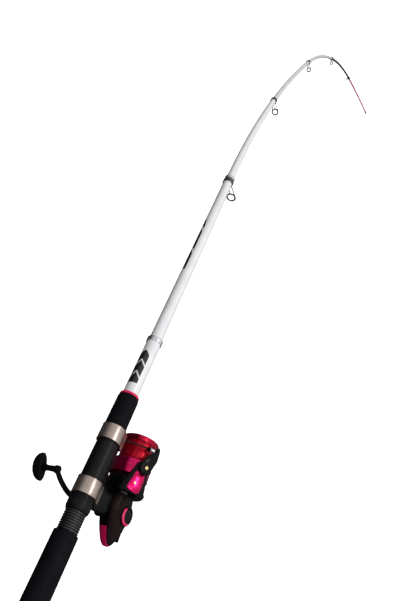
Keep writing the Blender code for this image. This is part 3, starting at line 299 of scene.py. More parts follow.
STEEL = Finish(
    "bright steel", "steel", (0.72, 0.72, 0.74), (0.55, 0.55, 0.58), (0.12, 0.3), 1.0, grain=1600.0
)
WIRE = Finish(
    "black wire", "black_wire", (0.004, 0.004, 0.005), (0.002, 0.002, 0.0025), (0.2, 0.35), grain=1800.0,
    specular=0.12,
)
THREAD_BLACK = Finish(
    "thread black", "black_plastic", (0.02, 0.02, 0.022), (0.01, 0.01, 0.011), (0.22, 0.36), specular=0.6,
)
TAIL_MAGENTA = Finish(
    "lacquered magenta", "magenta_metal", (0.75, 0.003, 0.12), (0.5, 0.001, 0.07), (0.2, 0.36), 0.25, 0.2,
    patch=90.0,
)
FOOT_GREY = Finish(
    "wrap grey", "black_wire", (0.1, 0.1, 0.105), (0.03, 0.03, 0.033), (0.25, 0.5), 0.2, grain=1800.0,
    bump=0.2,
)
CERAMIC = Finish(
    "ceramic", "ceramic", (0.004, 0.004, 0.005), (0.002, 0.002, 0.003), (0.1, 0.18), specular=0.15
)
BRASS = Finish("brass", "brass", (0.3, 0.21, 0.13), (0.18, 0.12, 0.07), (0.3, 0.5), 0.9, grain=1500.0)
LINE = Finish(
    "red line", "line", (0.5, 0.001, 0.018), (0.24, 0.0005, 0.01), (0.22, 0.4), 0.5, patch=240.0,
    specular=0.2,
)
LIP_RED = Finish(
    "anodised red", "magenta_metal", (0.55, 0.003, 0.035), (0.32, 0.001, 0.018), (0.2, 0.34), 0.9, 0.1,
    patch=120.0,
)
FELT = Finish(
    "felt", "felt", (0.3, 0.28, 0.25), (0.2, 0.18, 0.16), (0.85, 0.95), texture=Texture.FOAM, grain=2500.0,
    bump=0.6
)

SLOT_FINISH = {
    "white_lacquer": WHITE, "grey_lacquer": CHARCOAL, "pink_lacquer": PINK, "foam": FOAM, "rubber": RUBBER,
    "black_plastic": GLOSS_BLACK, "magenta_metal": MAGENTA, "steel_band": BAND, "steel": STEEL,
    "black_wire": WIRE,
    "ceramic": CERAMIC, "brass": BRASS, "line": LINE, "felt": FELT,
}


# ---------------------------------------------------------------- shaping
class Shape:
    """Mesh builders that the sub-assemblies share."""

    @staticmethod
    def close(bm: bmesh.types.BMesh) -> bpy.types.Mesh:
        """Merges doubles, points the faces outwards and shades the mesh smooth.

        Args:
            bm: the working mesh, which is freed.

        Returns:
            The finished mesh.
        """
        bmesh.ops.remove_doubles(bm, verts=bm.verts, dist=1e-6)
        bmesh.ops.recalc_face_normals(bm, faces=bm.faces)
        mesh = bpy.data.meshes.new("piece")
        bm.to_mesh(mesh)
        bm.free()
        mesh.shade_smooth()
        mesh.set_sharp_from_angle(angle=math.radians(38))
        return mesh

    @staticmethod
    def soften(points: Sequence[Point], radius: float, steps: int = 4) -> list[Point]:
        """Rounds the inner corners of an open outline.

        Args:
            points: the outline's corners.
            radius: how far from each corner the rounding starts.
            steps: points along each rounding.

        Returns:
            The rounded outline.
        """
        found: list[Point] = [points[0]]
        for before, corner, after in zip(points, points[1:], points[2:]):
            a, b, c = Vector(before), Vector(corner), Vector(after)
            reach = min(radius, (a - b).length * 0.45, (c - b).length * 0.45)
            start = b + (a - b).normalized() * reach
            end = b + (c - b).normalized() * reach
            for i in range(steps + 1):
                t = i / steps
                spot = start * (1 - t) ** 2 + b * (2 * t * (1 - t)) + end * t**2
                found.append((spot.x, spot.y))
        found.append(points[-1])
        return found

    @staticmethod
    def turned(profile: Sequence[Point], sides: int = 96, axis: str = "X") -> bpy.types.Mesh:
        """A turned solid from (along, radius) points, closed if the ends are off the axis.

        Args:
            profile: the outline's points.
            sides: steps round the axis.
            axis: the letter of the axis.

        Returns:
            The mesh.
        """
        bm = bmesh.new()
        verts = [bm.verts.new((along, 0.0, radius)) for along, radius in profile]
        edges = [bm.edges.new(pair) for pair in zip(verts, verts[1:])]
        if profile[0][1] > 1e-7 or profile[-1][1] > 1e-7:
            edges.append(bm.edges.new((verts[-1], verts[0])))
        bmesh.ops.spin(
            bm, geom=verts + edges, axis=(1, 0, 0), cent=(0, 0, 0), angle=math.tau, steps=sides,
            use_merge=True
        )
        turn = {
            "X": Matrix.Identity(4),
            "Y": Matrix.Rotation(math.pi / 2, 4, "Z"),
            "Z": Matrix.Rotation(-math.pi / 2, 4, "Y"),
        }[axis]
        bm.transform(turn)
        return Shape.close(bm)

    @staticmethod
    def loft(rings: Sequence[Sequence[Spot]]) -> bpy.types.Mesh:
        """A solid through rings of points, closed at both ends.

        Args:
            rings: the rings, each with the same count of points.

        Returns:
            The mesh.
        """
        bm = bmesh.new()
        loops = [[bm.verts.new(point) for point in ring] for ring in rings]
        count = len(loops[0])
        for low, high in zip(loops, loops[1:]):
            for i in range(count):
                j = (i + 1) % count
                bm.faces.new((low[i], low[j], high[j], high[i]))
        bm.faces.new(list(reversed(loops[0])))
        bm.faces.new(loops[-1])
        return Shape.close(bm)

    @staticmethod
    def curve(spots: Sequence[Spot], per_span: int = 8) -> list[Vector]:
        """Points on a smooth curve through spots.

        Args:
            spots: the points the curve passes through.
            per_span: points between two of them.

        Returns:
            The curve's points.
        """
        ends = [Vector(p) for p in (spots[0], *spots, spots[-1])]
        found = []
        for a, b, c, d in zip(ends, ends[1:], ends[2:], ends[3:]):
            for i in range(per_span):
                t = i / per_span
                found.append(0.5 * (
                    (2 * b) + (c - a) * t + (
                        2 * a - 5 * b + 4 * c - d
                    ) * t**2 + (3 * b - a - 3 * c + d) * t**3
                ))
        found.append(Vector(spots[-1]))
        return found

    @staticmethod
    def sweep(
        line: Sequence[Vector], sizes: Callable[
            [float], tuple[float, float]
        ], sides: int = 20, up: Spot = (0, 0, 1)
    ) -> bpy.types.Mesh:
        """A bar with an oval section along a line.

        Args:
            line: the points of its middle.
            sizes: half width along up and half thickness across it, for a share of the length from 0 to 1.
            sides: points round the section.
            up: the direction that the first half width follows as far as it can.

        Returns:
            The mesh.
        """
        rings = []
        last = len(line) - 1
        for i, spot in enumerate(line):
            ahead = (line[min(i + 1, last)] - line[max(i - 1, 0)]).normalized()
            high = Vector(up) - ahead * ahead.dot(Vector(up))
            high.normalize()
            side = ahead.cross(high)
            tall, wide = sizes(i / last)
            angles = [math.tau * k / sides for k in range(sides)]
            rings.append([spot + high * (tall * math.sin(a)) + side * (wide * math.cos(a)) for a in angles])
        return Shape.loft(rings)

    @staticmethod
    def combine(base: bpy.types.Mesh, *others: bpy.types.Mesh, how: str = "UNION") -> bpy.types.Mesh:
        """The Boolean of a mesh and others.

        Args:
            base: the first mesh.
            others: the meshes joined to it or cut from it.
            how: UNION, DIFFERENCE or INTERSECT.

        Returns:
            The resulting mesh.
        """
        for other in others:
            holder = bpy.data.objects.new("base", base)
            tool = bpy.data.objects.new("tool", other)
            for obj in (holder, tool):
                bpy.context.scene.collection.objects.link(obj)
            step = holder.modifiers.new("step", "BOOLEAN")
            step.operation = how
            step.object = tool
            base = Shape.evaluated(holder)
            for obj in (holder, tool):
                bpy.data.objects.remove(obj)
        return base

    @staticmethod
    def evaluated(obj: bpy.types.Object) -> bpy.types.Mesh:
        """The object's mesh after its modifiers.

        Args:
            obj: the object.

        Returns:
            A plain mesh.
        """
        bpy.context.view_layer.update()
        graph = bpy.context.evaluated_depsgraph_get()
        return bpy.data.meshes.new_from_object(obj.evaluated_get(graph))

    @staticmethod
    def bevelled(mesh: bpy.types.Mesh, width: float, segments: int = 3) -> bpy.types.Mesh:
        """The mesh with its sharp edges rounded.

        Args:
            mesh: the mesh.
            width: the rounding's width.
            segments: facets across the rounding.

        Returns:
            The rounded mesh.
        """
        holder = bpy.data.objects.new("bevel", mesh)
        bpy.context.scene.collection.objects.link(holder)
        step = holder.modifiers.new("bevel", "BEVEL")
        step.width = width
        step.segments = segments
        step.limit_method = "ANGLE"
        step.angle_limit = math.radians(35)
        step.harden_normals = False
        made = Shape.evaluated(holder)
        bpy.data.objects.remove(holder)
        made.shade_smooth()
        made.set_sharp_from_angle(angle=math.radians(38))
        return made

    @staticmethod
    def prism(outline: Sequence[Point], low: float, high: float, axis: str = "Y") -> bpy.types.Mesh:
        """A solid with a flat outline.

        Args:
            outline: the outline's (u, v) points.
            low: where it starts along the axis.
            high: where it ends.
            axis: the letter of the axis.

        Returns:
            The mesh.
        """
        spots = {
            "Y": lambda u, v, w: (u, w, v), "X": lambda u, v, w: (w, u, v), "Z": lambda u, v, w: (u, v, w)
        }[axis]
        return Shape.loft([[spots(u, v, w) for u, v in outline] for w in (low, high)])

    @staticmethod
    def shell_patch(
        stations: Sequence[
            tuple[float, float, float, float]
        ], thickness: float, middle: float, columns: int = 24
    ) -> bpy.types.Mesh:
        """A curved plate that wraps round the X axis.

        Args:
            stations: (along, arc below the middle, arc above it, outer radius) from its rear to its front.
            thickness: the plate's thickness.
            middle: the angle of its middle about X, from +Y towards +Z.
            columns: strips across its width.

        Returns:
            The mesh.
        """
        rings = []
        for along, below, above, outer in stations:
            ring = []
            for layer in (1, -1):
                for i in range(columns + 1):
                    share = layer * (2 * i / columns - 1)
                    edge = 1.0 - 0.35 * abs(share) ** 8
                    radius = outer - thickness * (1 - edge) if layer > 0 else outer - thickness * edge
                    angle = middle + (above - below) / 2 / outer + share * (above + below) / 2 / outer
                    ring.append((along, radius * math.cos(angle), radius * math.sin(angle)))
            rings.append(ring)
        return Shape.loft(rings)


class Placer:
    """Puts finished meshes on the model's moving bodies."""

    used: dict[str, int] = {}

    @staticmethod
    def add(
        name: str, mesh: bpy.types.Mesh, finish: Finish, body: str, stands_for: Iterable[str] = (),
        turn: Matrix | None = None,
    ) -> bpy.types.Object:
        """Adds one piece.

        Args:
            name: the piece's name.
            mesh: its mesh.
            finish: its surface.
            body: the body it moves with.
            stands_for: the plain solids that it takes the place of.
            turn: where its mesh goes in the row frame.

        Returns:
            The placed object.
        """
        if turn is not None:
            mesh.transform(turn)
        mesh.materials.clear()
        mesh.materials.append(finish.build())
        label = name.replace(" ", "_")
        Placer.used[label] = Placer.used.get(label, 0) + 1
        count = Placer.used[label]
        obj = bpy.data.objects.new(f"{label}_look" if count == 1 else f"{label}_look_{count}", mesh)
        bpy.context.scene.collection.objects.link(obj)
        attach(obj, body)
        if stands_for:
            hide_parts(*stands_for)
        LOG.info("placed %s on %s", obj.name, body)
        return obj


# ---------------------------------------------------------------- repeated detail
class Repeat:
    """Geometry Nodes trees for what repeats, each baked to a plain mesh."""

    @staticmethod
    def _group(name: str, sockets: Sequence[tuple[str, str]]) -> bpy.types.NodeTree:
        """Starts a Geometry Nodes tree with named inputs.

        Args:
            name: the tree's name.
            sockets: the name and socket type of each input.

        Returns:
            The tree, with its input and output nodes.
        """
        tree = bpy.data.node_groups.new(name, "GeometryNodeTree")
        for label, kind in sockets:
            tree.interface.new_socket(label, in_out="INPUT", socket_type=kind)
        tree.interface.new_socket("Geometry", in_out="OUTPUT", socket_type="NodeSocketGeometry")
        tree.nodes.new("NodeGroupInput")
        tree.nodes.new("NodeGroupOutput")
        return tree

    @staticmethod
    def _baked(tree: bpy.types.NodeTree, values: dict[str, object]) -> bpy.types.Mesh:
        """Evaluates a tree into a plain mesh.

        Args:
            tree: the Geometry Nodes tree.
            values: the value of each named input.

        Returns:
            The mesh, with no modifier left on anything.
        """
        holder = bpy.data.objects.new("repeat", bpy.data.meshes.new("repeat"))
        bpy.context.scene.collection.objects.link(holder)
        step = holder.modifiers.new("repeat", "NODES")
        step.node_group = tree
        for item in tree.interface.items_tree:
            if item.in_out == "INPUT" and item.name in values:
                step[item.identifier] = values[item.name]
        mesh = Shape.evaluated(holder)
        bpy.data.objects.remove(holder)
        mesh.shade_smooth()
        mesh.set_sharp_from_angle(angle=math.radians(38))
        return mesh

    @staticmethod
    def rings(
        count: int, start: float, pitch: float, radius: float, gauge: float, finish: Finish
    ) -> bpy.types.Mesh:
        """Equal rings round the X axis.

        Args:
            count: how many.
            start: where the first one is.
            pitch: the distance between two.
            radius: the radius of a ring's middle line.
            gauge: the radius of its section.
            finish: its surface.

        Returns:
            The mesh.
        """
        tree = Repeat._group("rings", [
            ("Count", "NodeSocketInt"), ("Start", "NodeSocketVector"), ("Step", "NodeSocketVector"),
            ("Radius", "NodeSocketFloat"), ("Gauge", "NodeSocketFloat"), ("Surface", "NodeSocketMaterial"),
        ])
        nodes, link = tree.nodes, tree.links.new
        given = nodes["Group Input"].outputs
        row = nodes.new("GeometryNodeMeshLine")
        row.mode = "OFFSET"
        link(given["Count"], row.inputs["Count"])
        link(given["Start"], row.inputs["Start Location"])
        link(given["Step"], row.inputs["Offset"])
        circle = nodes.new("GeometryNodeCurvePrimitiveCircle")
        circle.inputs["Resolution"].default_value = 72
        link(given["Radius"], circle.inputs["Radius"])
        section = nodes.new("GeometryNodeCurvePrimitiveCircle")
        section.inputs["Resolution"].default_value = 10
        link(given["Gauge"], section.inputs["Radius"])
        tube = nodes.new("GeometryNodeCurveToMesh")
        link(circle.outputs["Curve"], tube.inputs["Curve"])
        link(section.outputs["Curve"], tube.inputs["Profile Curve"])
        copies = nodes.new("GeometryNodeInstanceOnPoints")
        copies.inputs["Rotation"].default_value = (0.0, math.pi / 2, 0.0)
        link(row.outputs["Mesh"], copies.inputs["Points"])
        link(tube.outputs["Mesh"], copies.inputs["Instance"])
        Repeat._finish(tree, copies.outputs["Instances"])
        return Repeat._baked(tree, {
            "Count": count, "Start": (start, 0.0, 0.0), "Step": (pitch, 0.0, 0.0), "Radius": radius,
            "Gauge": gauge, "Surface": finish.build(),
        })

    @staticmethod
    def ribs(count: int, radius: float, length: float, gauge: float, finish: Finish) -> bpy.types.Mesh:
        """Round-backed ribs along X, spaced evenly round it.

        Args:
            count: how many.
            radius: the distance of a rib's middle from the axis.
            length: the length of a rib.
            gauge: the radius of its section.
            finish: its surface.

        Returns:
            The mesh, centred on the origin.
        """
        tree = Repeat._group("ribs", [
            ("Count", "NodeSocketInt"), ("Radius", "NodeSocketFloat"), ("Length", "NodeSocketFloat"),
            ("Gauge", "NodeSocketFloat"), ("Surface", "NodeSocketMaterial"),
        ])
        nodes, link = tree.nodes, tree.links.new
        given = nodes["Group Input"].outputs
        ring = nodes.new("GeometryNodeMeshCircle")
        link(given["Count"], ring.inputs["Vertices"])
        link(given["Radius"], ring.inputs["Radius"])
        upright = nodes.new("GeometryNodeTransform")
        upright.inputs["Rotation"].default_value = (0.0, math.pi / 2, 0.0)
        link(ring.outputs["Mesh"], upright.inputs["Geometry"])
        bar = nodes.new("GeometryNodeMeshCylinder")
        bar.inputs["Vertices"].default_value = 10
        link(given["Gauge"], bar.inputs["Radius"])
        link(given["Length"], bar.inputs["Depth"])
        copies = nodes.new("GeometryNodeInstanceOnPoints")
        copies.inputs["Rotation"].default_value = (0.0, math.pi / 2, 0.0)
        link(upright.outputs["Geometry"], copies.inputs["Points"])
        link(bar.outputs["Mesh"], copies.inputs["Instance"])
        Repeat._finish(tree, copies.outputs["Instances"])
        return Repeat._baked(tree, {
            "Count": count, "Radius": radius, "Length": length, "Gauge": gauge, "Surface": finish.build(),
        })

    @staticmethod
    def helix(
        turns: float, start: float, end: float, radii: Point, gauge: float, finish: Finish
    ) -> bpy.types.Mesh:
        """A strand wound round the X axis.

        Args:
            turns: how many turns.
            start: where it starts along X.
            end: where it ends.
            radii: its radius at the start and at the end.
            gauge: the strand's radius.
            finish: its surface.

        Returns:
            The mesh.
        """
        tree = Repeat._group("helix", [
            ("Turns", "NodeSocketFloat"), ("From", "NodeSocketFloat"), ("Rear radius", "NodeSocketFloat"),
            ("Front radius", "NodeSocketFloat"), ("Length", "NodeSocketFloat"),
            ("Gauge", "NodeSocketFloat"),
            ("Shift", "NodeSocketVector"), ("Surface", "NodeSocketMaterial"),
        ])
        nodes, link = tree.nodes, tree.links.new
        given = nodes["Group Input"].outputs
        coil = nodes.new("GeometryNodeCurveSpiral")
        coil.inputs["Resolution"].default_value = 48
        link(given["Turns"], coil.inputs["Rotations"])
        link(given["Rear radius"], coil.inputs["Start Radius"])
        link(given["Front radius"], coil.inputs["End Radius"])
        link(given["Length"], coil.inputs["Height"])
        section = nodes.new("GeometryNodeCurvePrimitiveCircle")
        section.inputs["Resolution"].default_value = 6
        link(given["Gauge"], section.inputs["Radius"])
        strand = nodes.new("GeometryNodeCurveToMesh")
        strand.inputs["Fill Caps"].default_value = True
        link(coil.outputs["Curve"], strand.inputs["Curve"])
        link(section.outputs["Curve"], strand.inputs["Profile Curve"])
        turned = nodes.new("GeometryNodeTransform")
        turned.inputs["Rotation"].default_value = (0.0, math.pi / 2, 0.0)
        link(given["Shift"], turned.inputs["Translation"])
        link(strand.outputs["Mesh"], turned.inputs["Geometry"])
        Repeat._finish(tree, turned.outputs["Geometry"])
        return Repeat._baked(tree, {
            "Turns": turns, "Rear radius": radii[0], "Front radius": radii[1], "Length": end - start,
            "Gauge": gauge, "Shift": (start, 0.0, 0.0), "Surface": finish.build(),
        })

    @staticmethod
    def _finish(tree: bpy.types.NodeTree, geometry: bpy.types.NodeSocket) -> None:
        """Ends a tree with realised instances and the set material.

        Args:
            tree: the Geometry Nodes tree.
            geometry: the socket that holds the repeated shape.
        """
        real = tree.nodes.new("GeometryNodeRealizeInstances")
        dressed = tree.nodes.new("GeometryNodeSetMaterial")
        tree.links.new(geometry, real.inputs["Geometry"])
        tree.links.new(real.outputs["Geometry"], dressed.inputs["Geometry"])
        tree.links.new(tree.nodes["Group Input"].outputs["Surface"], dressed.inputs["Material"])
        tree.links.new(dressed.outputs["Geometry"], tree.nodes["Group Output"].inputs["Geometry"])


# ---------------------------------------------------------------- the rod
@dataclass(frozen=True)
class Section:
    """One length of the blank: its visible length, the bend at its end and its end radii."""

    number: int
    body: str
    node: str
    length: float
    bend: float
    rear: float
    front: float
    finish: Finish


SECTIONS = (
    Section(2, "section_2", "blank_2", 365 * MM, 0.0, 8.7 * MM, 7.8 * MM, STREAK_WHITE),
    Section(3, "section_3", "blank_3", 324 * MM, 8.9, 6.6 * MM, 5.5 * MM, WHITE),
    Section(4, "section_4", "blank_4", 335 * MM, 15.1, 5.0 * MM, 4.3 * MM, PALE),
    Section(5, "section_5", "blank_5", 285 * MM, 31.1, 4.1 * MM, 3.6 * MM, PALE),
    Section(6, "section_6", "blank_6", 252 * MM, 47.9, 3.2 * MM, 2.8 * MM, CHARCOAL),
    Section(7, "tip_section", "tip_blank", 318 * MM, 52.5, 2.5 * MM, 2.1 * MM, PINK),
)


class RodLine:
    """The middle line of the rod: straight handle, then one arc for each section."""

    def __init__(self, start: float, sections: Sequence[Section]) -> None:
        """Works out where each section starts.

        Args:
            start: the front end of the butt section.
            sections: the sections in order.
        """
        self.starts: dict[int, tuple[float, float, float, float]] = {}
        x, z, bend = start, 0.0, 0.0
        for section in sections:
            end = math.radians(section.bend)
            rate = (end - bend) / section.length
            self.starts[section.number] = (x, z, bend, rate)
            x, z = self._along(x, z, bend, rate, section.length)
            bend = end
        self.starts[sections[-1].number + 1] = (x, z, bend, 0.0)

    @staticmethod
    def _along(x: float, z: float, bend: float, rate: float, distance: float) -> Point:
        """A point some distance along an arc in the rod's plane.

        Args:
            x: where the arc starts, along X.
            z: where the arc starts, along Z.
            bend: its direction there, in radians below X.
            rate: how fast it bends, in radians per metre.
            distance: the distance along it.

        Returns:
            The point's X and Z.
        """
        if abs(rate) < 1e-9:
            return x + distance * math.cos(bend), z - distance * math.sin(bend)
        end = bend + rate * distance
        return x + (math.sin(end) - math.sin(bend)) / rate, z - (math.cos(bend) - math.cos(end)) / rate

    def frame(self, number: int) -> Matrix:
        """The frame at the rear end of a section, with X along the rod.

        Args:
            number: the section's number.

        Returns:
            The matrix.
        """
        x, z, bend, _ = self.starts[number]
        return Matrix.Translation((x, 0, z)) @ Matrix.Rotation(bend, 4, "Y")

    def bend(self, mesh: bpy.types.Mesh, number: int) -> bpy.types.Mesh:
        """Bends a mesh that was built along X onto a section's arc.

        Args:
            mesh: the straight mesh, with the section's start at 0.
            number: the section's number.

        Returns:
            The same mesh.
        """
        x, z, bend, rate = self.starts[number]
        for vert in mesh.vertices:
            along, across, up = vert.co
            px, pz = self._along(x, z, bend, rate, along)
            angle = bend + rate * along
            vert.co = (px + up * math.sin(angle), across, pz + up * math.cos(angle))
        return mesh


@dataclass
class Handle:
    """Butt section, grips, reel seat, hoods and nut."""

    body: str = "rod_handle_and_reel"
    blank_radius: float = 9.8 * MM
    butt_end: float = -262 * MM
    front: float = BUTT_FRONT
    seat_rear: float = -82 * MM
    seat_step: float = -45 * MM
    seat_front: float = 41 * MM
    thread_core: float = 11.0 * MM
    seat_radius: float = 13.0 * MM
    hood_wall: float = 1.3 * MM
    grip_radius: float = 13.8 * MM

    def build(self) -> None:
        """Builds every piece of the handle."""
        bore = self.blank_radius - 0.8 * MM
        blank = [(self.butt_end + 5 * MM, bore), (self.butt_end + 5 * MM, self.blank_radius)]
        blank += [(self.front - 0.4 * MM, self.blank_radius), (self.front - 0.4 * MM, bore)]
        Placer.add("butt blank", Shape.turned(blank), BUTT_WHITE, self.body, ["butt_blank"])
        self._grips()
        self._seat()
        for label, node, body, span in (
            ("front hood", "front_hood", self.body, (22.0 * MM, 42.0 * MM)),
            ("rear hood", "rear_hood", "rear_hood", (-43.0 * MM, -23.5 * MM)),
        ):
            self._hood(label, node, body, span)
        collar = self.blank_radius + GAP
        ring = [(self.front - 7 * MM, collar), (self.front - 7 * MM, collar + 0.8 * MM)]
        ring += [(self.front - GAP, collar + 0.8 * MM), (self.front - GAP, collar)]
        Placer.add(
            "butt collar", Shape.turned(Shape.soften(ring, 0.3 * MM)), STEEL, self.body, ["butt_collar"]
        )

    def _grips(self) -> None:
        """Rear grip, butt cap, fore grip and trim."""
        inner = self.blank_radius + GAP
        start, end = self.butt_end + 18.3 * MM, -82.3 * MM
        grip = [(start, inner), (start, self.grip_radius), (end, self.grip_radius), (end, inner)]
        Placer.add(
            "rear grip", Shape.turned(Shape.soften(grip, 3.2 * MM, 8), 128), FOAM, self.body, ["rear_grip"]
        )
        low, high = self.butt_end, self.butt_end + 18 * MM
        cap = [
            (low, 0.0), (low, 15 * MM), (high, 15 * MM), (high, inner), (low + 4 * MM, inner),
            (low + 4 * MM, 0.0)
        ]
        Placer.add(
            "butt cap", Shape.turned(Shape.soften(cap, 2 * MM, 6), 128), RUBBER, self.body, ["butt_cap"]
        )
        rear, front = 42.3 * MM, 84.0 * MM
        fore = [
            (rear, inner), (rear, 13.5 * MM), (front - 1.5 * MM, 13.3 * MM), (front, 12.6 * MM),
            (front, inner)
        ]
        Placer.add(
            "fore grip", Shape.turned(Shape.soften(fore, 1.4 * MM, 6), 128), FOAM, self.body, ["fore_grip"]
        )
        rear = 84.3 * MM
        trim = [(rear, inner), (rear, 12.9 * MM), (rear + 3.2 * MM, 12.4 * MM), (rear + 3.6 * MM, inner)]
        Placer.add(
            "trim ring", Shape.turned(Shape.soften(trim, 0.9 * MM, 6)), PINK, self.body, ["trim_ring"]
        )

    def _seat(self) -> None:
        """Reel seat with its thread, and the lock nut with its ribs."""
        inner = self.blank_radius + GAP
        core = self.thread_core
        outline = [
            (self.seat_rear, inner), (self.seat_rear, core), (self.seat_step, core),
            (self.seat_step, self.seat_radius), (self.seat_front, self.seat_radius), (self.seat_front, inner),
        ]
        Placer.add(
            "reel seat", Shape.turned(Shape.soften(outline, 0.4 * MM), 128), SEAT_BLACK, self.body,
            ["reel_seat"]
        )
        thread = Repeat.rings(8, -80.2 * MM, 2.7 * MM, core + 0.05 * MM, 0.8 * MM, THREAD_BLACK)
        Placer.add("seat thread", thread, THREAD_BLACK, self.body)
        front = -45.3 * MM
        nut = [
            (front - 14 * MM, 11.95 * MM), (front - 14 * MM, 12.9 * MM), (front - 11 * MM, 13.6 * MM),
            (front - 3.2 * MM, 13.6 * MM), (front - 2.8 * MM, 13.1 * MM), (front - 2.2 * MM, 13.1 * MM),
            (front - 1.8 * MM, 13.6 * MM), (front, 13.6 * MM), (front, 11.95 * MM),
        ]
        Placer.add(
            "lock nut", Shape.turned(Shape.soften(nut, 0.35 * MM), 128), SEAT_BLACK, "lock_nut",
            ["lock_nut"]
        )
        ribs = Repeat.ribs(40, 13.35 * MM, 7.0 * MM, 0.42 * MM, SEAT_BLACK)
        Placer.add(
            "lock nut ribs", ribs, SEAT_BLACK, "lock_nut", turn=Matrix.Translation((front - 7.2 * MM, 0, 0))
        )

    def _hood(self, label: str, node: str, body: str, span: Point) -> None:
        """One metal hood: a band that opens into a pocket below, and dark rims.

        Args:
            label: the piece's name.
            node: the plain solid it stands for.
            body: the body it moves with.
            span: where it starts and ends along X.
        """
        inner = self.seat_radius + GAP
        floor = self.seat_radius + 3.9 * MM
        rings = {}
        for wall in (0.0, self.hood_wall):
            rings[wall] = [
                self._hood_point(i / 120 * math.tau, inner + wall, floor + wall, wall) for i in range(120)
            ]
        low, high = span
        bm = bmesh.new()
        loops = []
        for wall, x in ((0.0, low), (self.hood_wall, low), (self.hood_wall, high), (0.0, high)):
            loops.append([bm.verts.new((x, y, z)) for y, z in rings[wall]])
        for first, second in zip(loops, loops[1:] + loops[:1]):
            for i in range(120):
                j = (i + 1) % 120
                bm.faces.new((first[i], first[j], second[j], second[i]))
        mesh = Shape.bevelled(Shape.close(bm), 0.35 * MM)
        Placer.add(label, mesh, BAND, body, [node])
        for x in (low + 0.5 * MM, high - 0.5 * MM):
            outer = inner + self.hood_wall
            rim = [(x - 0.4 * MM, outer - 0.5 * MM), (x - 0.4 * MM, outer + 0.15 * MM)]
            rim += [(x + 0.4 * MM, outer + 0.15 * MM), (x + 0.4 * MM, outer - 0.5 * MM)]
            mesh = Shape.turned(Shape.soften(rim, 0.15 * MM), 96)
            keep = [v for v in mesh.vertices if v.co.z < -11.0 * MM]
            bm = bmesh.new()
            bm.from_mesh(mesh)
            bm.verts.ensure_lookup_table()
            bmesh.ops.delete(bm, geom=[bm.verts[v.index] for v in keep], context="VERTS")
            bmesh.ops.holes_fill(bm, edges=[e for e in bm.edges if e.is_boundary], sides=0)
            Placer.add(f"{label} rim", Shape.close(bm), GLOSS_BLACK, body)

    @staticmethod
    def _hood_point(angle: float, radius: float, floor: float, wall: float) -> Point:
        """A point of the hood's outline: round above, pushed down into a squarish pocket below.

        Args:
            angle: the angle round the rod from +Y towards +Z.
            radius: the band's radius.
            floor: how deep the pocket reaches.
            wall: how far the outline is outside the pocket's inner face.

        Returns:
            The (y, z) point.
        """
        y, z = radius * math.cos(angle), radius * math.sin(angle)
        if z >= 0:
            return y, z
        half = 7.6 * MM + wall
        blend = max(0.0, min(1.0, (half + 2.2 * MM - abs(y)) / (2.6 * MM)))
        smooth = blend * blend * (3 - 2 * blend)
        return y, z * (1 - smooth) - floor * smooth


@dataclass
class Blank:
    """The upper sections with their collars."""

    line: RodLine
    overlap: float = 48 * MM
    wall: float = 0.8 * MM

    def build(self) -> None:
        """Builds every section."""
        for section in SECTIONS:
            start = -self.overlap if section.number == 2 else 0.55 * MM
            end = section.length - GAP
            count = 60
            spots = [start + (end - start) * i / count for i in range(count + 1)]
            outer = [
                (
                    x, section.rear + (section.front - section.rear) * max(0.0, x) / section.length
                ) for x in spots
            ]
            wall = min(self.wall, section.front * 0.35)
            profile = [
                (start, 0.0), *outer, (end, section.front - wall), (end - 3 * MM, section.front - wall)
            ]
            profile += [(end - 3 * MM, 0.0)]
            mesh = self.line.bend(Shape.turned(profile, 48), section.number)
            Placer.add(section.node.replace("_", " "), mesh, section.finish, section.body, [section.node])
        radius = SECTIONS[0].front + GAP
        ring = [
            (-6 * MM, radius), (-6 * MM, radius + 0.8 * MM), (-0.3 * MM, radius + 0.8 * MM),
            (-0.3 * MM, radius)
        ]
        mesh = Shape.turned(Shape.soften(ring, 0.3 * MM), 72)
        Placer.add("second collar", mesh, STEEL, "section_2", ["collar_2"], self.line.frame(3))


@dataclass(frozen=True)
class GuideSize:
    """One line guide: ring radius, drop, set-back, wire gauge and turn about the rod in degrees."""

    section: int
    ring: float
    drop: float
    back: float
    gauge: float
    turn: float
    lined: bool = True


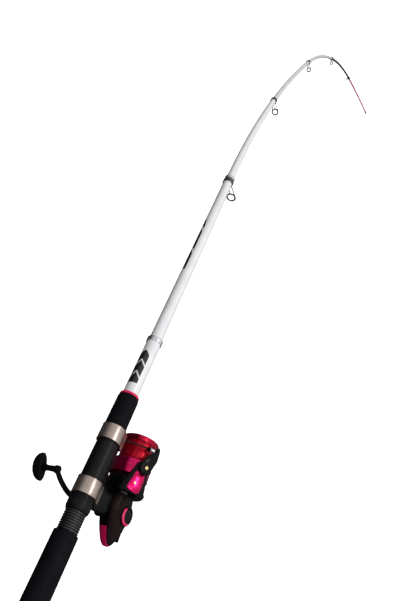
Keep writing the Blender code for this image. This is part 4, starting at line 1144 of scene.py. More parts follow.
@dataclass
class Guides:
    """The line guides and the tip top."""

    line: RodLine
    sizes: tuple[GuideSize, ...] = (
        GuideSize(2, 8.75 * MM, 25 * MM, 9 * MM, 0.9 * MM, 0.0),
        GuideSize(3, 7.5 * MM, 22 * MM, 7 * MM, 0.8 * MM, 0.0),
        GuideSize(4, 6.0 * MM, 17 * MM, 5 * MM, 0.7 * MM, 0.0),
        GuideSize(5, 5.0 * MM, 13.5 * MM, 4 * MM, 0.65 * MM, 0.0),
        GuideSize(6, 4.2 * MM, 11 * MM, 3 * MM, 0.6 * MM, 65.0, False),
    )

    def build(self) -> None:
        """Builds every guide and the tip top."""
        for size in self.sizes:
            self._guide(size)
        self._tip_top()

    def _guide(self, size: GuideSize) -> None:
        """One guide: a wrapped foot collar, a wire frame with two legs, and a lined ring.

        Args:
            size: the guide's sizes.
        """
        section = SECTIONS[size.section - 2]
        place = self.line.frame(size.section + 1) @ Matrix.Rotation(math.radians(size.turn), 4, "X")
        behind = 7 * MM if size.section == 2 else 0.0
        inner = section.front + 0.45 * MM
        front = -behind - GAP
        rear = front - 9 * MM
        taper = (section.rear - section.front) / section.length * (9 * MM + behind)
        outer = inner + taper + 0.7 * MM
        number = size.section - 1
        collar = [(rear, inner + taper), (rear, outer), (front, outer), (front, inner + taper)]
        mesh = Shape.turned(Shape.soften(collar, 0.4 * MM), 48)
        Placer.add(
            f"guide {number} collar", mesh, FOOT_GREY, section.body, [f"guide_{number}_frame"], place
        )
        wrap = Repeat.helix(
            9.0, rear + 1 * MM, front - 1 * MM, (outer + 0.05 * MM,) * 2, 0.32 * MM, FOOT_GREY
        )
        Placer.add(f"guide {number} wrap", wrap, FOOT_GREY, section.body, turn=place)
        ring_x = rear - size.back + 4.5 * MM
        steps = 14
        circle = [
            (math.cos(math.tau * i / steps), math.sin(math.tau * i / steps)) for i in range(steps + 1)
        ]
        middle = size.ring - size.gauge
        ring = [(size.gauge * c, middle + size.gauge * s) for c, s in circle[:-1]]
        centre = Matrix.Translation((ring_x, 0, -size.drop))
        Placer.add(f"guide {number} ring", Shape.turned(ring, 64), WIRE, section.body, turn=place @ centre)
        for side in (-1, 1):
            spots = [
                (front - 1.5 * MM, side * outer * 0.35, -outer * 0.97),
                (front - 4.5 * MM, side * outer * 0.42, -outer * 1.02),
                (ring_x + size.back * 0.45, side * middle * 0.75, -size.drop + size.ring * 0.95),
                (ring_x + 0.3 * MM, side * middle * 0.98, -size.drop + size.ring * 0.2),
                (ring_x, side * middle * 0.93, -size.drop - size.ring * 0.25),
            ]
            leg = Shape.sweep(Shape.curve(spots), lambda _: (size.gauge * 0.85,) * 2, 12, (1, 0, 0))
            Placer.add(f"guide {number} leg", leg, WIRE, section.body, turn=place)
        spots = [
            (rear + 2 * MM, 0, -outer), (rear + 0.5 * MM, 0, -outer - 1 * MM),
            (ring_x, 0, -size.drop + middle)
        ]
        strut = Shape.sweep(Shape.curve(spots), lambda _: (size.gauge * 0.85,) * 2, 12, (0, 1, 0))
        Placer.add(f"guide {number} strut", strut, WIRE, section.body, turn=place)
        if size.lined:
            hole = size.ring - 2 * size.gauge + 0.1 * MM
            width = size.gauge * 1.0
            lining = [
                (-width, hole), (-width, hole - 0.5 * MM), (-width * 0.6, hole - 1.0 * MM),
                (0.0, hole - 1.35 * MM),
                (width * 0.6, hole - 1.0 * MM), (width, hole - 0.5 * MM), (width, hole),
            ]
            mesh = Shape.turned(lining, 64)
            Placer.add(
                f"guide {number} lining", mesh, CERAMIC, section.body, [f"guide_{number}_ring"],
                place @ centre
            )

    def _tip_top(self) -> None:
        """The tip top: sleeve, ring and its legs."""
        place = self.line.frame(8)
        radius = SECTIONS[-1].front
        sleeve = [
            (-9 * MM, radius + 0.3 * MM), (-9 * MM, radius + 0.9 * MM), (1.5 * MM, radius + 0.9 * MM),
            (2.4 * MM, 0.0),
            (0.2 * MM, 0.0), (0.2 * MM, radius + 0.3 * MM),
        ]
        profile = Shape.soften(sleeve[3:] + sleeve[:3] + [sleeve[3]], 0.3 * MM)
        Placer.add("tip sleeve", Shape.turned(profile, 32), WIRE, "tip_section", ["tip_top"], place)
        gauge = 0.6 * MM
        middle = 2.8 * MM
        ring = [
            (
                gauge * math.cos(math.tau * i / 12), middle + gauge * math.sin(math.tau * i / 12)
            ) for i in range(12)
        ]
        centre = Matrix.Translation((4.6 * MM, 0, -2.4 * MM))
        Placer.add("tip ring", Shape.turned(ring, 48), WIRE, "tip_section", turn=place @ centre)
        for side in (-1, 1):
            spots = [
                (-2 * MM, side * 1.2 * MM, 0), (2 * MM, side * 1.6 * MM, -0.2 * MM),
                (4.6 * MM, side * 2.7 * MM, -1.9 * MM)
            ]
            leg = Shape.sweep(Shape.curve(spots), lambda _: (0.45 * MM,) * 2, 10, (0, 0, 1))
            Placer.add("tip leg", leg, WIRE, "tip_section", turn=place)


# ---------------------------------------------------------------- the reel
REEL = Matrix.Translation((0, 0, -64 * MM)) @ Matrix.Rotation(-math.radians(2.5), 4, "Y")
ROTOR = REEL @ Matrix.Rotation(math.radians(-27), 4, "X")
BAIL = ROTOR @ Matrix.Translation((20.5 * MM, 0, 0))
CRANK = REEL @ Matrix.Translation((-31 * MM, 0, -6.5 * MM))
ROD = "rod_handle_and_reel"


@dataclass
class Housing:
    """The reel's body, side cover, rear cover, stem, foot and bosses."""

    sides: int = 72
    stations: tuple[tuple[float, float, float, float], ...] = (
        (-11.5, 17.0, -17.0, 13.5), (-20.0, 18.5, -20.0, 14.0), (-30.0, 18.5, -21.5, 14.0),
        (-40.0, 15.0, -21.0, 13.0),
        (-50.0, 10.0, -19.0, 11.0), (-58.0, 5.0, -16.5, 8.5), (-64.0, 0.5, -13.5, 6.0),
        (-67.5, -3.5, -10.0, 3.0),
    )

    def _solid(self) -> bpy.types.Mesh:
        """The housing's smooth outside.

        Returns:
            The mesh, in the reel's frame.
        """
        first = [Vector((x, top, bottom)) for x, top, bottom, _ in self.stations]
        widths = [Vector((x, half, 0.0)) for x, _, _, half in self.stations]
        fine = list(
            zip(Shape.curve([tuple(v) for v in first], 5), Shape.curve([tuple(v) for v in widths], 5))
        )
        rings = []
        for edge, width in fine:
            middle, high = (edge.y + edge.z) / 2, (edge.y - edge.z) / 2
            ring = []
            for i in range(self.sides):
                angle = math.tau * i / self.sides
                c, s = math.cos(angle), math.sin(angle)
                across = width.y * math.copysign(abs(c) ** 0.7, c)
                up = middle + high * math.copysign(abs(s) ** 0.7, s)
                ring.append((edge.x * MM, across * MM, up * MM))
            rings.append(ring)
        return Shape.loft(rings)

    @staticmethod
    def _slab(x: Point, y: Point) -> bpy.types.Mesh:
        """A tall slab that cuts the housing.

        Args:
            x: its low and high X.
            y: its low and high Y.

        Returns:
            The slab.
        """
        low, high = -0.1, 0.1
        return Shape.prism([(x[0], low), (x[1], low), (x[1], high), (x[0], high)], y[0], y[1])

    def build(self) -> None:
        """Builds the housing's pieces."""
        seam = -4.0 * MM
        gap = 0.15 * MM
        left = Shape.combine(
            self._solid(), self._slab((-50 * MM + gap, 0.1), (seam + gap, 0.1)), how="INTERSECT"
        )
        right = Shape.combine(self._solid(), self._slab((-0.2, 0.1), (-0.1, seam - gap)), how="INTERSECT")
        tail = Shape.combine(
            self._solid(), self._slab((-0.2, -50 * MM - gap), (seam + gap, 0.1)), how="INTERSECT"
        )
        Placer.add("reel body", Shape.bevelled(left, 0.5 * MM), GLOSS_BLACK, ROD, ["body_housing"], REEL)
        Placer.add(
            "reel side cover", Shape.bevelled(right, 0.5 * MM), BROWN_BLACK, ROD, ["side_cover"], REEL
        )
        Placer.add(
            "reel rear cover", Shape.bevelled(tail, 0.5 * MM), TAIL_MAGENTA, ROD, ["rear_cover"], REEL
        )
        self._stem()
        self._bosses()

    def _stem(self) -> None:
        """The stem as a shaped blade, and the foot under the hoods."""
        front = Shape.curve(
            [(-13.0, 10, 0), (-12.5, 30, 0), (-6.0, 39, 0), (3.0, 44, 0), (9.0, 47.0, 0)], 8
        )
        rear = Shape.curve(
            [(-40.0, 10, 0), (-43.0, 25, 0), (-45.0, 38, 0), (-45.2, 43.2, 0), (-43.8, 44.4, 0)], 8
        )
        rings = []
        for ahead, behind in zip(front, rear):
            ring = []
            for i in range(40):
                angle = math.tau * i / 40
                c, s = math.cos(angle), math.sin(angle)
                share = 0.5 + 0.5 * math.copysign(abs(c) ** 0.6, c)
                spot = behind.lerp(ahead, share)
                ring.append((spot.x * MM, 4.4 * MM * math.copysign(abs(s) ** 0.8, s), spot.y * MM))
            rings.append(ring)
        Placer.add("reel stem", Shape.loft(rings), GLOSS_BLACK, ROD, turn=REEL)
        top, low, reach = -13.3 * MM, -16.3 * MM, 34 * MM
        outline = [(-reach, top), (-reach, low + 1.2 * MM), (-reach + 5 * MM, low), (reach - 5 * MM, low)]
        outline += [(reach, low + 1.2 * MM), (reach, top)]
        foot = Shape.bevelled(Shape.prism(outline, -7 * MM, 7 * MM), 0.6 * MM)
        Placer.add("reel foot", foot, GLOSS_BLACK, ROD)
        neck = Shape.prism([
            (-20.4 * MM, -16.0 * MM), (-20.4 * MM, -20.5 * MM), (9.5 * MM, -18.6 * MM),
            (9.5 * MM, -16.0 * MM)
        ],
                           -4.2 * MM, 4.2 * MM)
        Placer.add("reel neck", Shape.bevelled(neck, 0.8 * MM), GLOSS_BLACK, ROD)

    def _bosses(self) -> None:
        """The bosses of the crank bearings, with a coloured ring round the cap on the right."""
        boss = [
            (-15.5 * MM, 8.2 * MM), (-15.5 * MM, 11.0 * MM), (-14.2 * MM, 11.6 * MM), (-9 * MM, 12.4 * MM),
            (-9 * MM, 8.2 * MM)
        ]
        mesh = Shape.turned(Shape.soften(boss, 0.6 * MM), 96, "Y")
        Placer.add("right boss", mesh, BROWN_BLACK, ROD, turn=CRANK)
        stripe = [
            (-16.6 * MM, 8.3 * MM), (-16.6 * MM, 10.0 * MM), (-15.2 * MM, 11.3 * MM), (-15.2 * MM, 8.3 * MM)
        ]
        mesh = Shape.turned(Shape.soften(stripe, 0.4 * MM), 96, "Y")
        away = Shape.prism(
            [(-14 * MM, -12 * MM), (18 * MM, -18 * MM), (12 * MM, 14 * MM)], -18 * MM, -14 * MM
        )
        mesh = Shape.combine(mesh, away, how="DIFFERENCE")
        Placer.add("boss stripe", mesh, TAIL_MAGENTA, ROD, turn=CRANK)
        cap = [
            (-16.3 * MM, 0.0), (-16.2 * MM, 4.0 * MM), (-15.8 * MM, 7.2 * MM), (-15.0 * MM, 7.8 * MM),
            (-13.6 * MM, 7.8 * MM), (-13.6 * MM, 0.0)
        ]
        mesh = Shape.turned(Shape.soften(cap, 0.5 * MM), 96, "Y")
        Placer.add("shaft cap", mesh, GLOSS_BLACK, "crank", ["shaft_cap"], CRANK)
        boss = [
            (9 * MM, 3.9 * MM), (9 * MM, 9.4 * MM), (13 * MM, 8.6 * MM), (20 * MM, 7.4 * MM),
            (20 * MM, 3.9 * MM)
        ]
        mesh = Shape.turned(Shape.soften(boss, 0.8 * MM), 96, "Y")
        Placer.add("left boss", mesh, GLOSS_BLACK, ROD, turn=CRANK)


@dataclass
class Rotor:
    """Rotor cup, arms with coloured panels, bail arm, lever, wire, roller and screws."""

    hinge_x: float = 20.5 * MM
    rear: float = -11.0 * MM
    panel_sink: float = 1.25 * MM  # keeps a panel's front clear of the bail that swings over it

    def build(self) -> None:
        """Builds the rotor and the bail."""
        cup = [
            (-9.0 * MM, 3.9 * MM), (-9.0 * MM, 22 * MM), (-7.6 * MM, 25.5 * MM), (-4.5 * MM, 27.0 * MM),
            (-3.0 * MM, 26.6 * MM),
            (-1.0 * MM, 22.6 * MM), (8 * MM, 22.3 * MM), (8 * MM, 20.8 * MM), (-1.5 * MM, 20.8 * MM),
            (-3 * MM, 3.9 * MM),
        ]
        mesh = Shape.turned(Shape.soften(cup, 1.0 * MM, 5), 128)
        Placer.add("rotor cup", mesh, GLOSS_BLACK, "rotor", ["rotor"], ROTOR)
        for side, angle in (("left", 0.0), ("right", math.pi)):
            self._arm(side, angle)
        self._bail()

    def _arm(self, side: str, angle: float) -> None:
        """One rotor arm and its coloured panel.

        Args:
            side: its name.
            angle: where it stands round the rotor.
        """
        wide = []
        for i in range(41):
            x = self.rear + (self.hinge_x + 8.5 * MM - self.rear) * i / 40
            tuck = 2.0 * MM * max(0.0, -x / -self.rear) ** 2
            below, above = self._arm_reach(x)
            wide.append((x, below, above, 30.9 * MM - tuck))
        arm = Shape.shell_patch(wide, 4.2 * MM, angle, 40)
        Placer.add(f"{side} rotor arm", arm, GLOSS_BLACK, "rotor", turn=ROTOR)
        panel = []
        for i in range(33):
            share = i / 32
            x = self.rear + 0.8 * MM + (15.5 * MM - self.rear) * share
            round_off = math.sqrt(max(0.02, 1 - abs(2 * share - 1) ** 9))
            tuck = 2.2 * MM * max(0.0, -x / -self.rear) ** 2
            tuck += self.panel_sink * min(1.0, max(0.0, (x - 7 * MM) / (5 * MM)))
            below = (14.5 * MM - 6.0 * MM * share) * round_off
            above = (4.6 * MM + 0.6 * MM * share) * round_off
            panel.append((x, below, above, 32.4 * MM - tuck))
        mesh = Shape.shell_patch(panel, 1.6 * MM, angle)
        Placer.add(f"{side} arm panel", mesh, MAGENTA, "rotor", [f"{side}_arm_cover"], ROTOR)
        rivet = [
            (31.8 * MM, 0.0), (31.8 * MM, 1.7 * MM), (32.4 * MM, 1.7 * MM), (32.8 * MM, 1.2 * MM),
            (32.5 * MM, 0.0)
        ]
        mesh = Shape.turned(Shape.soften(rivet, 0.2 * MM), 48, "Y")
        lean = Matrix.Rotation(angle - math.radians(10), 4, "X")
        Placer.add(f"{side} arm rivet", mesh, BRASS, "rotor", turn=ROTOR @ lean)

    def _arm_reach(self, x: float) -> Point:
        """How far a rotor arm reaches to either side of its middle.

        Args:
            x: the distance along the spool's axis.

        Returns:
            The arcs below and above the middle.
        """
        crown = 1.0
        if x > self.hinge_x:
            crown = math.sqrt(max(0.0, 1 - ((x - self.hinge_x) / (8.5 * MM)) ** 2))
        share = min(1.0, (x - self.rear) / (self.hinge_x - self.rear))
        below = 24.5 * MM - 14.0 * MM * share
        above = 8.5 * MM + 10.0 * MM * (1 - share) ** 1.3
        return below * crown + 0.15 * MM, above * crown + 0.15 * MM

    def _bail(self) -> None:
        """Hinge caps, bail arm, line roller, wire, lever and screws."""
        out = PIN_OUT
        disc = [
            (-out - 4.0 * MM, 0.0), (-out - 3.9 * MM, 6.4 * MM), (-out - 2.6 * MM, 8.5 * MM),
            (-out, 8.5 * MM), (-out, 0.0)
        ]
        mesh = Shape.turned(Shape.soften(disc, 0.8 * MM, 5), 96, "Y")
        Placer.add("bail hinge cap", mesh, GLOSS_BLACK, "bail", ["bail_arm"], BAIL)
        spots = [
            (-3.0 * MM, -out - 1.9 * MM, 0.0), (7.0 * MM, -out - 2.1 * MM, -2.0 * MM),
            (15.0 * MM, -out - 1.6 * MM, -6.0 * MM),
            (23.0 * MM, -30.6 * MM, -9.6 * MM), (31.0 * MM, -28.4 * MM, -11.2 * MM),
        ]
        halves = ((0.0, 8.0), (0.25, 8.2), (0.5, 6.6), (0.72, 3.9), (0.95, 2.4), (1.0, 1.2))

        def sizes(share: float) -> Point:
            """Half width and half thickness of the arm.

            Args:
                share: how far along the arm, from 0 to 1.

            Returns:
                The two half sizes.
            """
            for (a, low), (b, high) in zip(halves, halves[1:]):
                if share <= b:
                    half = (low + (high - low) * (share - a) / (b - a)) * MM
                    return half, (1.9 if share < 0.9 else 1.5) * MM
            return halves[-1][1] * MM, 0.8 * MM

        arm = Shape.sweep(Shape.curve(spots, 10), sizes, 32)
        Placer.add("bail arm", arm, GLOSS_BLACK, "bail", turn=BAIL)
        lean = Matrix.Rotation(-math.atan2(0.8, 14.5), 4, "X")
        stud = [
            (-7.2 * MM, 0.0), (-7.2 * MM, 2.2 * MM), (-3.4 * MM, 2.6 * MM), (-3.4 * MM, 1.2 * MM),
            (3.4 * MM, 1.2 * MM), (3.4 * MM, 2.9 * MM), (4.8 * MM, 2.5 * MM), (6.2 * MM, 1.2 * MM),
            (6.2 * MM, 0.0),
        ]
        place = BAIL @ Matrix.Translation((25 * MM, -27.05 * MM, -3 * MM)) @ lean
        Placer.add(
            "roller stud", Shape.turned(Shape.soften(stud, 0.4 * MM), 48, "Z"), GLOSS_BLACK, "bail",
            turn=place
        )
        roller = [
            (-3 * MM, 1.5 * MM), (-3 * MM, 3.5 * MM), (-1.2 * MM, 2.6 * MM), (1.2 * MM, 2.6 * MM),
            (3 * MM, 3.5 * MM), (3 * MM, 1.5 * MM)
        ]
        mesh = Shape.turned(Shape.soften(roller, 0.7 * MM, 6), 64, "Z")
        Placer.add("line roller", mesh, STEEL, "line_roller", ["line_roller"], place)
        spots = [
            (25.0, -26.6, 3.0), (23.5, -26.0, 12.0), (21.5, -25.5, 22.0), (20.3, -25.4, 30.3),
            (20.3, -21.8, 36.4),
            (20.2, -13.5, 40.3), (20.3, 0.0, 42.3), (20.2, 13.5, 40.3), (20.3, 22.6, 36.4),
            (18.6, 27.2, 27.0),
            (14.0, 30.0, 12.0), (10.4, 32.8, 1.2),
        ]
        line = Shape.curve([(x * MM, y * MM, z * MM) for x, y, z in spots], 8)
        mesh = Shape.sweep(line, lambda _: (0.95 * MM,) * 2, 16, (1, 0, 0))
        Placer.add("bail wire", mesh, WIRE, "bail", ["bail_wire"], BAIL)
        end = line[-26:-4]
        mesh = Shape.sweep(end, lambda share: (1.5 * MM + 0.5 * MM * share,) * 2, 16, (1, 0, 0))
        Placer.add("bail wire end", mesh, MAGENTA, "bail", turn=BAIL)
        lever = [
            (out, 0.0), (out, 6.5 * MM), (out + 2.2 * MM, 6.5 * MM), (out + 3.2 * MM, 5.2 * MM),
            (out + 3.2 * MM, 0.0)
        ]
        mesh = Shape.turned(Shape.soften(lever, 0.6 * MM), 72, "Y")
        Placer.add("bail lever", mesh, GLOSS_BLACK, "bail", ["bail_lever"], BAIL)
        spots = [
            (2.0 * MM, out + 1.5 * MM, 0.0), (6.5 * MM, out + 1.5 * MM, 0.3 * MM),
            (10.6 * MM, out + 1.4 * MM, 1.4 * MM)
        ]
        mesh = Shape.sweep(Shape.curve(spots), lambda share: (4.2 * MM - 2.0 * MM * share, 1.4 * MM), 24)
        Placer.add("bail lever tongue", mesh, GLOSS_BLACK, "bail", turn=BAIL)
        for side, node, reach in ((-1, "right_bail_screw", 35.2), (1, "left_bail_screw", 34.4)):
            self._screw(side, node, reach * MM)

    @staticmethod
    def _screw(side: int, node: str, reach: float) -> None:
        """One cross-head screw on the bail's hinge.

        Args:
            side: -1 on the right, 1 on the left.
            node: the plain solid it stands for.
            reach: how far out its head starts.
        """
        head = [
            (26.6 * MM, 0.0), (26.6 * MM, 1.6 * MM), (reach, 1.6 * MM), (reach, 2.5 * MM),
            (reach + 1.0 * MM, 2.2 * MM), (reach + 1.3 * MM, 1.4 * MM), (reach + 1.35 * MM, 0.0),
        ]
        mesh = Shape.turned(Shape.soften(head, 0.25 * MM), 48, "Y")
        for quarter in (0.0, math.pi / 2):
            low, high = reach + 0.7 * MM, reach + 3 * MM
            slot = Shape.prism(
                [(-2 * MM, -0.28 * MM), (2 * MM, -0.28 * MM), (2 * MM, 0.28 * MM), (-2 * MM, 0.28 * MM)],
                low, high
            )
            slot.transform(Matrix.Rotation(quarter + 0.5, 4, "Y"))
            mesh = Shape.combine(mesh, slot, how="DIFFERENCE")
        flip = Matrix.Rotation(math.pi if side < 0 else 0.0, 4, "X")
        Placer.add(node.replace("_", " "), mesh, BRASS, "bail", [node], BAIL @ flip)


@dataclass
class SpoolSet:
    """Spool, wound line and drag knob."""

    lip: float = 23.0 * MM

    def build(self) -> None:
        """Builds the spool, its line and its knob."""
        bore = 2.65 * MM
        profile = [
            (17, bore / MM), (17, 6), (28, 6), (28, 23.4), (11, 23.4), (11, 24.8), (12.4, 24.95),
            (13.2, 24.5), (24.2, 24.3),
            (25.0, 24.8), (28.2, 24.6), (29.5, 23.6), (29.5, 13.5), (57, 13.5), (57, 16.0), (55.2, 15.2),
            (55.2, 11.2), (43, 11.2), (43, bore / MM),
        ]
        profile = [(x * MM, r * MM) for x, r in profile]
        mesh = Shape.turned(Shape.soften(profile, 0.5 * MM), 160)
        Placer.add("spool", mesh, MAGENTA, "spool", ["spool"], REEL)
        cone = [(54, 13.8), (54, 20.9), (58.4, 22.4), (58.4, 16.4), (57.4, 15.4), (56, 15.4), (56, 13.8)]
        mesh = Shape.turned([(x * MM, r * MM) for x, r in cone], 160)
        Placer.add("spool lip", mesh, LIP_RED, "spool", turn=REEL)
        rim = [
            (58.3, 16.2), (58.3, 22.5), (58.7, 23.1), (59.3, 23.1), (59.7, 22.5), (59.6, 19.5), (58.9, 16.6)
        ]
        mesh = Shape.turned(Shape.soften([(x * MM, r * MM) for x, r in rim], 0.2 * MM), 160)
        Placer.add("spool rim", mesh, MAGENTA, "spool", turn=REEL)
        line = [(29.8, 13.8), (29.8, 20.4), (33, 21.0), (42, 21.25), (51, 20.9), (53.7, 20.3), (53.7, 13.8)]
        mesh = Shape.turned(Shape.soften([(x * MM, (r - 0.35) * MM) for x, r in line], 0.8 * MM), 128)
        Placer.add("line core", mesh, LINE, "spool", ["wound_line"], REEL)
        for turns, start, end, radii in ((46, 30.2, 42.0, (20.2, 20.95)), (44, 42.0, 53.4, (20.95, 20.1)),
                                         (9, 30.6, 53.0, (20.7, 20.7)), (7, 53.0, 30.9, (20.8, 20.6))):
            coil = Repeat.helix(
                turns, start * MM, end * MM, (radii[0] * MM, radii[1] * MM), 0.17 * MM, LINE
            )
            Placer.add("line turns", coil, LINE, "spool", turn=REEL)
        knob = [
            (60.2, 0.0), (60.2, 2.65), (50.2, 2.65), (50.2, 10.6), (55.6, 10.6), (55.6, 13.6), (58.5, 14.0),
            (60.6, 13.4),
            (61.8, 11.8), (61.4, 7.0), (61.6, 3.0), (61.9, 0.0),
        ]
        mesh = Shape.turned(Shape.soften([(x * MM, r * MM) for x, r in knob], 0.5 * MM), 96)
        Placer.add("drag knob", mesh, GLOSS_BLACK, "drag_knob", ["drag_knob"], REEL)
        ribs = Repeat.ribs(28, 13.55 * MM, 3.6 * MM, 0.75 * MM, GLOSS_BLACK)
        Placer.add(
            "drag knob ribs", ribs, GLOSS_BLACK, "drag_knob",
            turn=REEL @ Matrix.Translation((57.8 * MM, 0, 0))
        )


@dataclass
class Crank:
    """Crank arm, grip pin and grip."""

    lean: float = 17.3
    length: float = 64 * MM
    grip_turn: float = 45.0

    def build(self) -> None:
        """Builds the crank."""
        place = CRANK @ Matrix.Rotation(math.radians(self.lean), 4, "Y")
        root = [(20.6, 2.7), (20.6, 5.4), (22.5, 6.6), (28.5, 6.4), (30.4, 4.8), (30.6, 2.7)]
        mesh = Shape.turned(Shape.soften([(a * MM, r * MM) for a, r in root], 0.9 * MM, 5), 72, "Y")
        Placer.add("crank root", mesh, GLOSS_BLACK, "crank", ["crank_arm"], place)
        spots = [
            (0.0, 26.5, 0.0), (-2.0, 28.8, 5.0), (-4.5, 32.0, 12.0), (-10.5, 39.6, 28.0),
            (-12.5, 45.0, 42.0), (-9.5, 51.0, 54.0),
            (-4.0, 57.0, 61.0), (0.0, 60.0, 64.0),
        ]
        line = Shape.curve([(x * MM, y * MM, z * MM) for x, y, z in spots], 10)
        mesh = Shape.sweep(
            line, lambda share: (3.6 * MM - 0.7 * MM * share, 2.6 * MM - 0.2 * MM * share), 32, (1, 0, 0)
        )
        Placer.add("crank arm", mesh, GLOSS_BLACK, "crank", turn=place)
        hub = [(57.0, 2.1), (57.0, 3.8), (58.2, 4.7), (62.6, 4.7), (63.8, 3.8), (63.8, 2.1)]
        mesh = Shape.turned(Shape.soften([(a * MM, r * MM) for a, r in hub], 0.6 * MM), 64, "Y")
        at_grip = place @ Matrix.Translation((0, 0, self.length))
        Placer.add("crank eye", mesh, GLOSS_BLACK, "crank", turn=at_grip)
        self._grip(at_grip @ Matrix.Rotation(math.radians(self.grip_turn), 4, "Y"))

    def _grip(self, place: Matrix) -> None:
        """The half-moon grip on its neck.

        Args:
            place: the frame of its pin.
        """
        neck = [(64.6, 2.1), (64.6, 3.3), (66.0, 3.6), (74.0, 3.3), (84.0, 4.8), (84.0, 2.1)]
        mesh = Shape.turned(Shape.soften([(a * MM, r * MM) for a, r in neck], 1.0 * MM, 5), 64, "Y")
        Placer.add("grip neck", mesh, GLOSS_BLACK, "crank_grip", turn=place)
        rings = []
        count = 22
        for k in range(count + 1):
            share = k / count
            out = (82.0 + 16.5 * share) * MM
            size = math.sqrt(max(0.0, 1 - (max(0.0, share - 0.1) / 0.9) ** 2.2))
            size *= min(1.0, 0.9 + 0.1 * math.sqrt(share / 0.1)) if share < 0.1 else 1.0
            ring = []
            for i in range(64):
                angle = math.tau * i / 64
                ring.append(
                    (
                        6.0 * MM * max(size, 0.03) * math.cos(angle), out,
                        16.5 * MM * max(size, 0.03) * math.sin(angle)
                    )
                )
            rings.append(ring)
        Placer.add(
            "crank grip", Shape.bevelled(Shape.loft(rings), 1.2 * MM, 4), RUBBER, "crank_grip",
            ["crank_grip"], place
        )


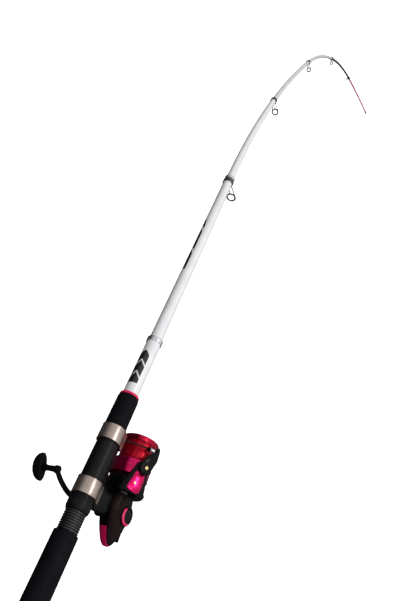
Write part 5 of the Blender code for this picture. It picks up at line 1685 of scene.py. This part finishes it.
# ---------------------------------------------------------------- studio
@dataclass
class Studio:
    """Camera, light, floor and world."""

    focal_mm: float = 32.0
    eye: Spot = (-0.2035, -0.3789, 0.4742)
    right: Spot = (0.3056, -0.8896, -0.3396)
    upward: Spot = (0.7286, -0.0112, 0.6849)
    back: Spot = (-0.613, -0.4567, 0.6447)
    floor_z: float = -1.6
    bright_side: Spot = (0.186, -0.946, 0.26)
    sky_fade: Point = (-0.35, 0.8)
    sky_levels: Point = (0.05, 1.0)
    floor_half: float = 40.0

    def build(self) -> None:
        """Sets the picture up."""
        self._camera()
        self._floor()
        self._lights()

    def _camera(self) -> None:
        """Creates the camera and makes it the scene's own."""
        data = bpy.data.cameras.new("camera")
        data.lens = self.focal_mm
        data.sensor_width = 36.0
        data.sensor_fit = "AUTO"
        data.clip_end = 100.0
        camera = bpy.data.objects.new("camera", data)
        bpy.context.scene.collection.objects.link(camera)
        turn = Matrix((self.right, self.upward, self.back)).transposed().to_quaternion()
        camera.rotation_mode = "QUATERNION"
        camera.rotation_quaternion = turn
        camera.location = self.eye
        bpy.context.scene.camera = camera

    def _floor(self) -> None:
        """A plain pale floor that throws no light on the rod."""
        bm = bmesh.new()
        bmesh.ops.create_grid(bm, x_segments=2, y_segments=2, size=self.floor_half)
        mesh = bpy.data.meshes.new("floor")
        bm.to_mesh(mesh)
        bm.free()
        floor = bpy.data.objects.new("floor", mesh)
        floor.location = (0, 0, self.floor_z)
        bpy.context.scene.collection.objects.link(floor)
        finish = bpy.data.materials.new("floor")
        finish.use_nodes = True
        shader = finish.node_tree.nodes["Principled BSDF"]
        shader.inputs["Base Color"].default_value = (0.9, 0.9, 0.9, 1.0)
        shader.inputs["Roughness"].default_value = 0.9
        shader.inputs["Emission Color"].default_value = (1.0, 1.0, 1.0, 1.0)
        shader.inputs["Emission Strength"].default_value = 0.9
        mesh.materials.append(finish)
        floor.visible_diffuse = False
        floor.visible_glossy = False

    def _sky(self) -> bpy.types.World:
        """A soft sky that is bright on the crankless side of the reel and dark on the other.

        The camera sees plain white in its place, as a backdrop that lights nothing.

        Returns:
            The world.
        """
        world = bpy.data.worlds.new("studio")
        world.use_nodes = True
        tree = world.node_tree
        place = tree.nodes.new("ShaderNodeTexCoord")
        towards = tree.nodes.new("ShaderNodeVectorMath")
        towards.operation = "DOT_PRODUCT"
        towards.inputs[1].default_value = self.bright_side
        tree.links.new(place.outputs["Generated"], towards.inputs[0])
        level = tree.nodes.new("ShaderNodeMapRange")
        level.interpolation_type = "SMOOTHSTEP"
        level.inputs["From Min"].default_value = self.sky_fade[0]
        level.inputs["From Max"].default_value = self.sky_fade[1]
        level.inputs["To Min"].default_value = self.sky_levels[0]
        level.inputs["To Max"].default_value = self.sky_levels[1]
        tree.links.new(towards.outputs["Value"], level.inputs["Value"])
        tree.links.new(level.outputs["Result"], tree.nodes["Background"].inputs["Strength"])
        lit = tree.nodes["Background"]
        lit.inputs["Color"].default_value = (1.0, 1.0, 1.0, 1.0)
        paper = tree.nodes.new("ShaderNodeBackground")
        paper.inputs["Color"].default_value = (1.0, 1.0, 1.0, 1.0)
        seen = tree.nodes.new("ShaderNodeLightPath")
        choice = tree.nodes.new("ShaderNodeMixShader")
        tree.links.new(seen.outputs["Is Camera Ray"], choice.inputs[0])
        tree.links.new(lit.outputs[0], choice.inputs[1])
        tree.links.new(paper.outputs[0], choice.inputs[2])
        tree.links.new(choice.outputs[0], tree.nodes["World Output"].inputs["Surface"])
        return world

    def _lights(self) -> None:
        """The sky, a broad key light and a narrow one for highlights."""
        bpy.context.scene.world = self._sky()
        for name, place, aim, size, power in (
            ("key", (0.5, -1.6, 0.35), (0.1, 0.0, -0.05), (0.9, 0.25), 9.0),
            ("sparkle", (-0.25, -0.9, 0.55), (0.0, 0.0, -0.07), (0.06, 0.5), 1.2),
        ):
            data = bpy.data.lights.new(name, "AREA")
            data.shape = "RECTANGLE"
            data.size, data.size_y = size
            data.energy = power
            lamp = bpy.data.objects.new(name, data)
            lamp.location = place
            lamp.rotation_mode = "QUATERNION"
            lamp.rotation_quaternion = (Vector(aim) - Vector(place)).to_track_quat("-Z", "Y")
            bpy.context.scene.collection.objects.link(lamp)
        bpy.context.scene.view_settings.view_transform = "Standard"


def dress_plain_solids() -> None:
    """Gives every plain solid that stays its procedural finish."""
    slots = {entry["node"]: entry["material_slot"] for entry in frame["record"]["subparts"]}
    for name, obj in frame["nodes"].items():
        made = SLOT_FINISH[slots[name]].build()
        for slot in obj.material_slots:
            slot.material = made


def main() -> None:
    """Builds the rod, the reel and the studio."""
    logging.basicConfig(level=logging.INFO)
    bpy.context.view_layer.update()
    dress_plain_solids()
    line = RodLine(BUTT_FRONT, SECTIONS)
    for part in (Handle(), Blank(line), Guides(line), Housing(), Rotor(), SpoolSet(), Crank(), Studio()):
        part.build()
        LOG.info("built %s", type(part).__name__)


if __name__ == "__main__":
    main()
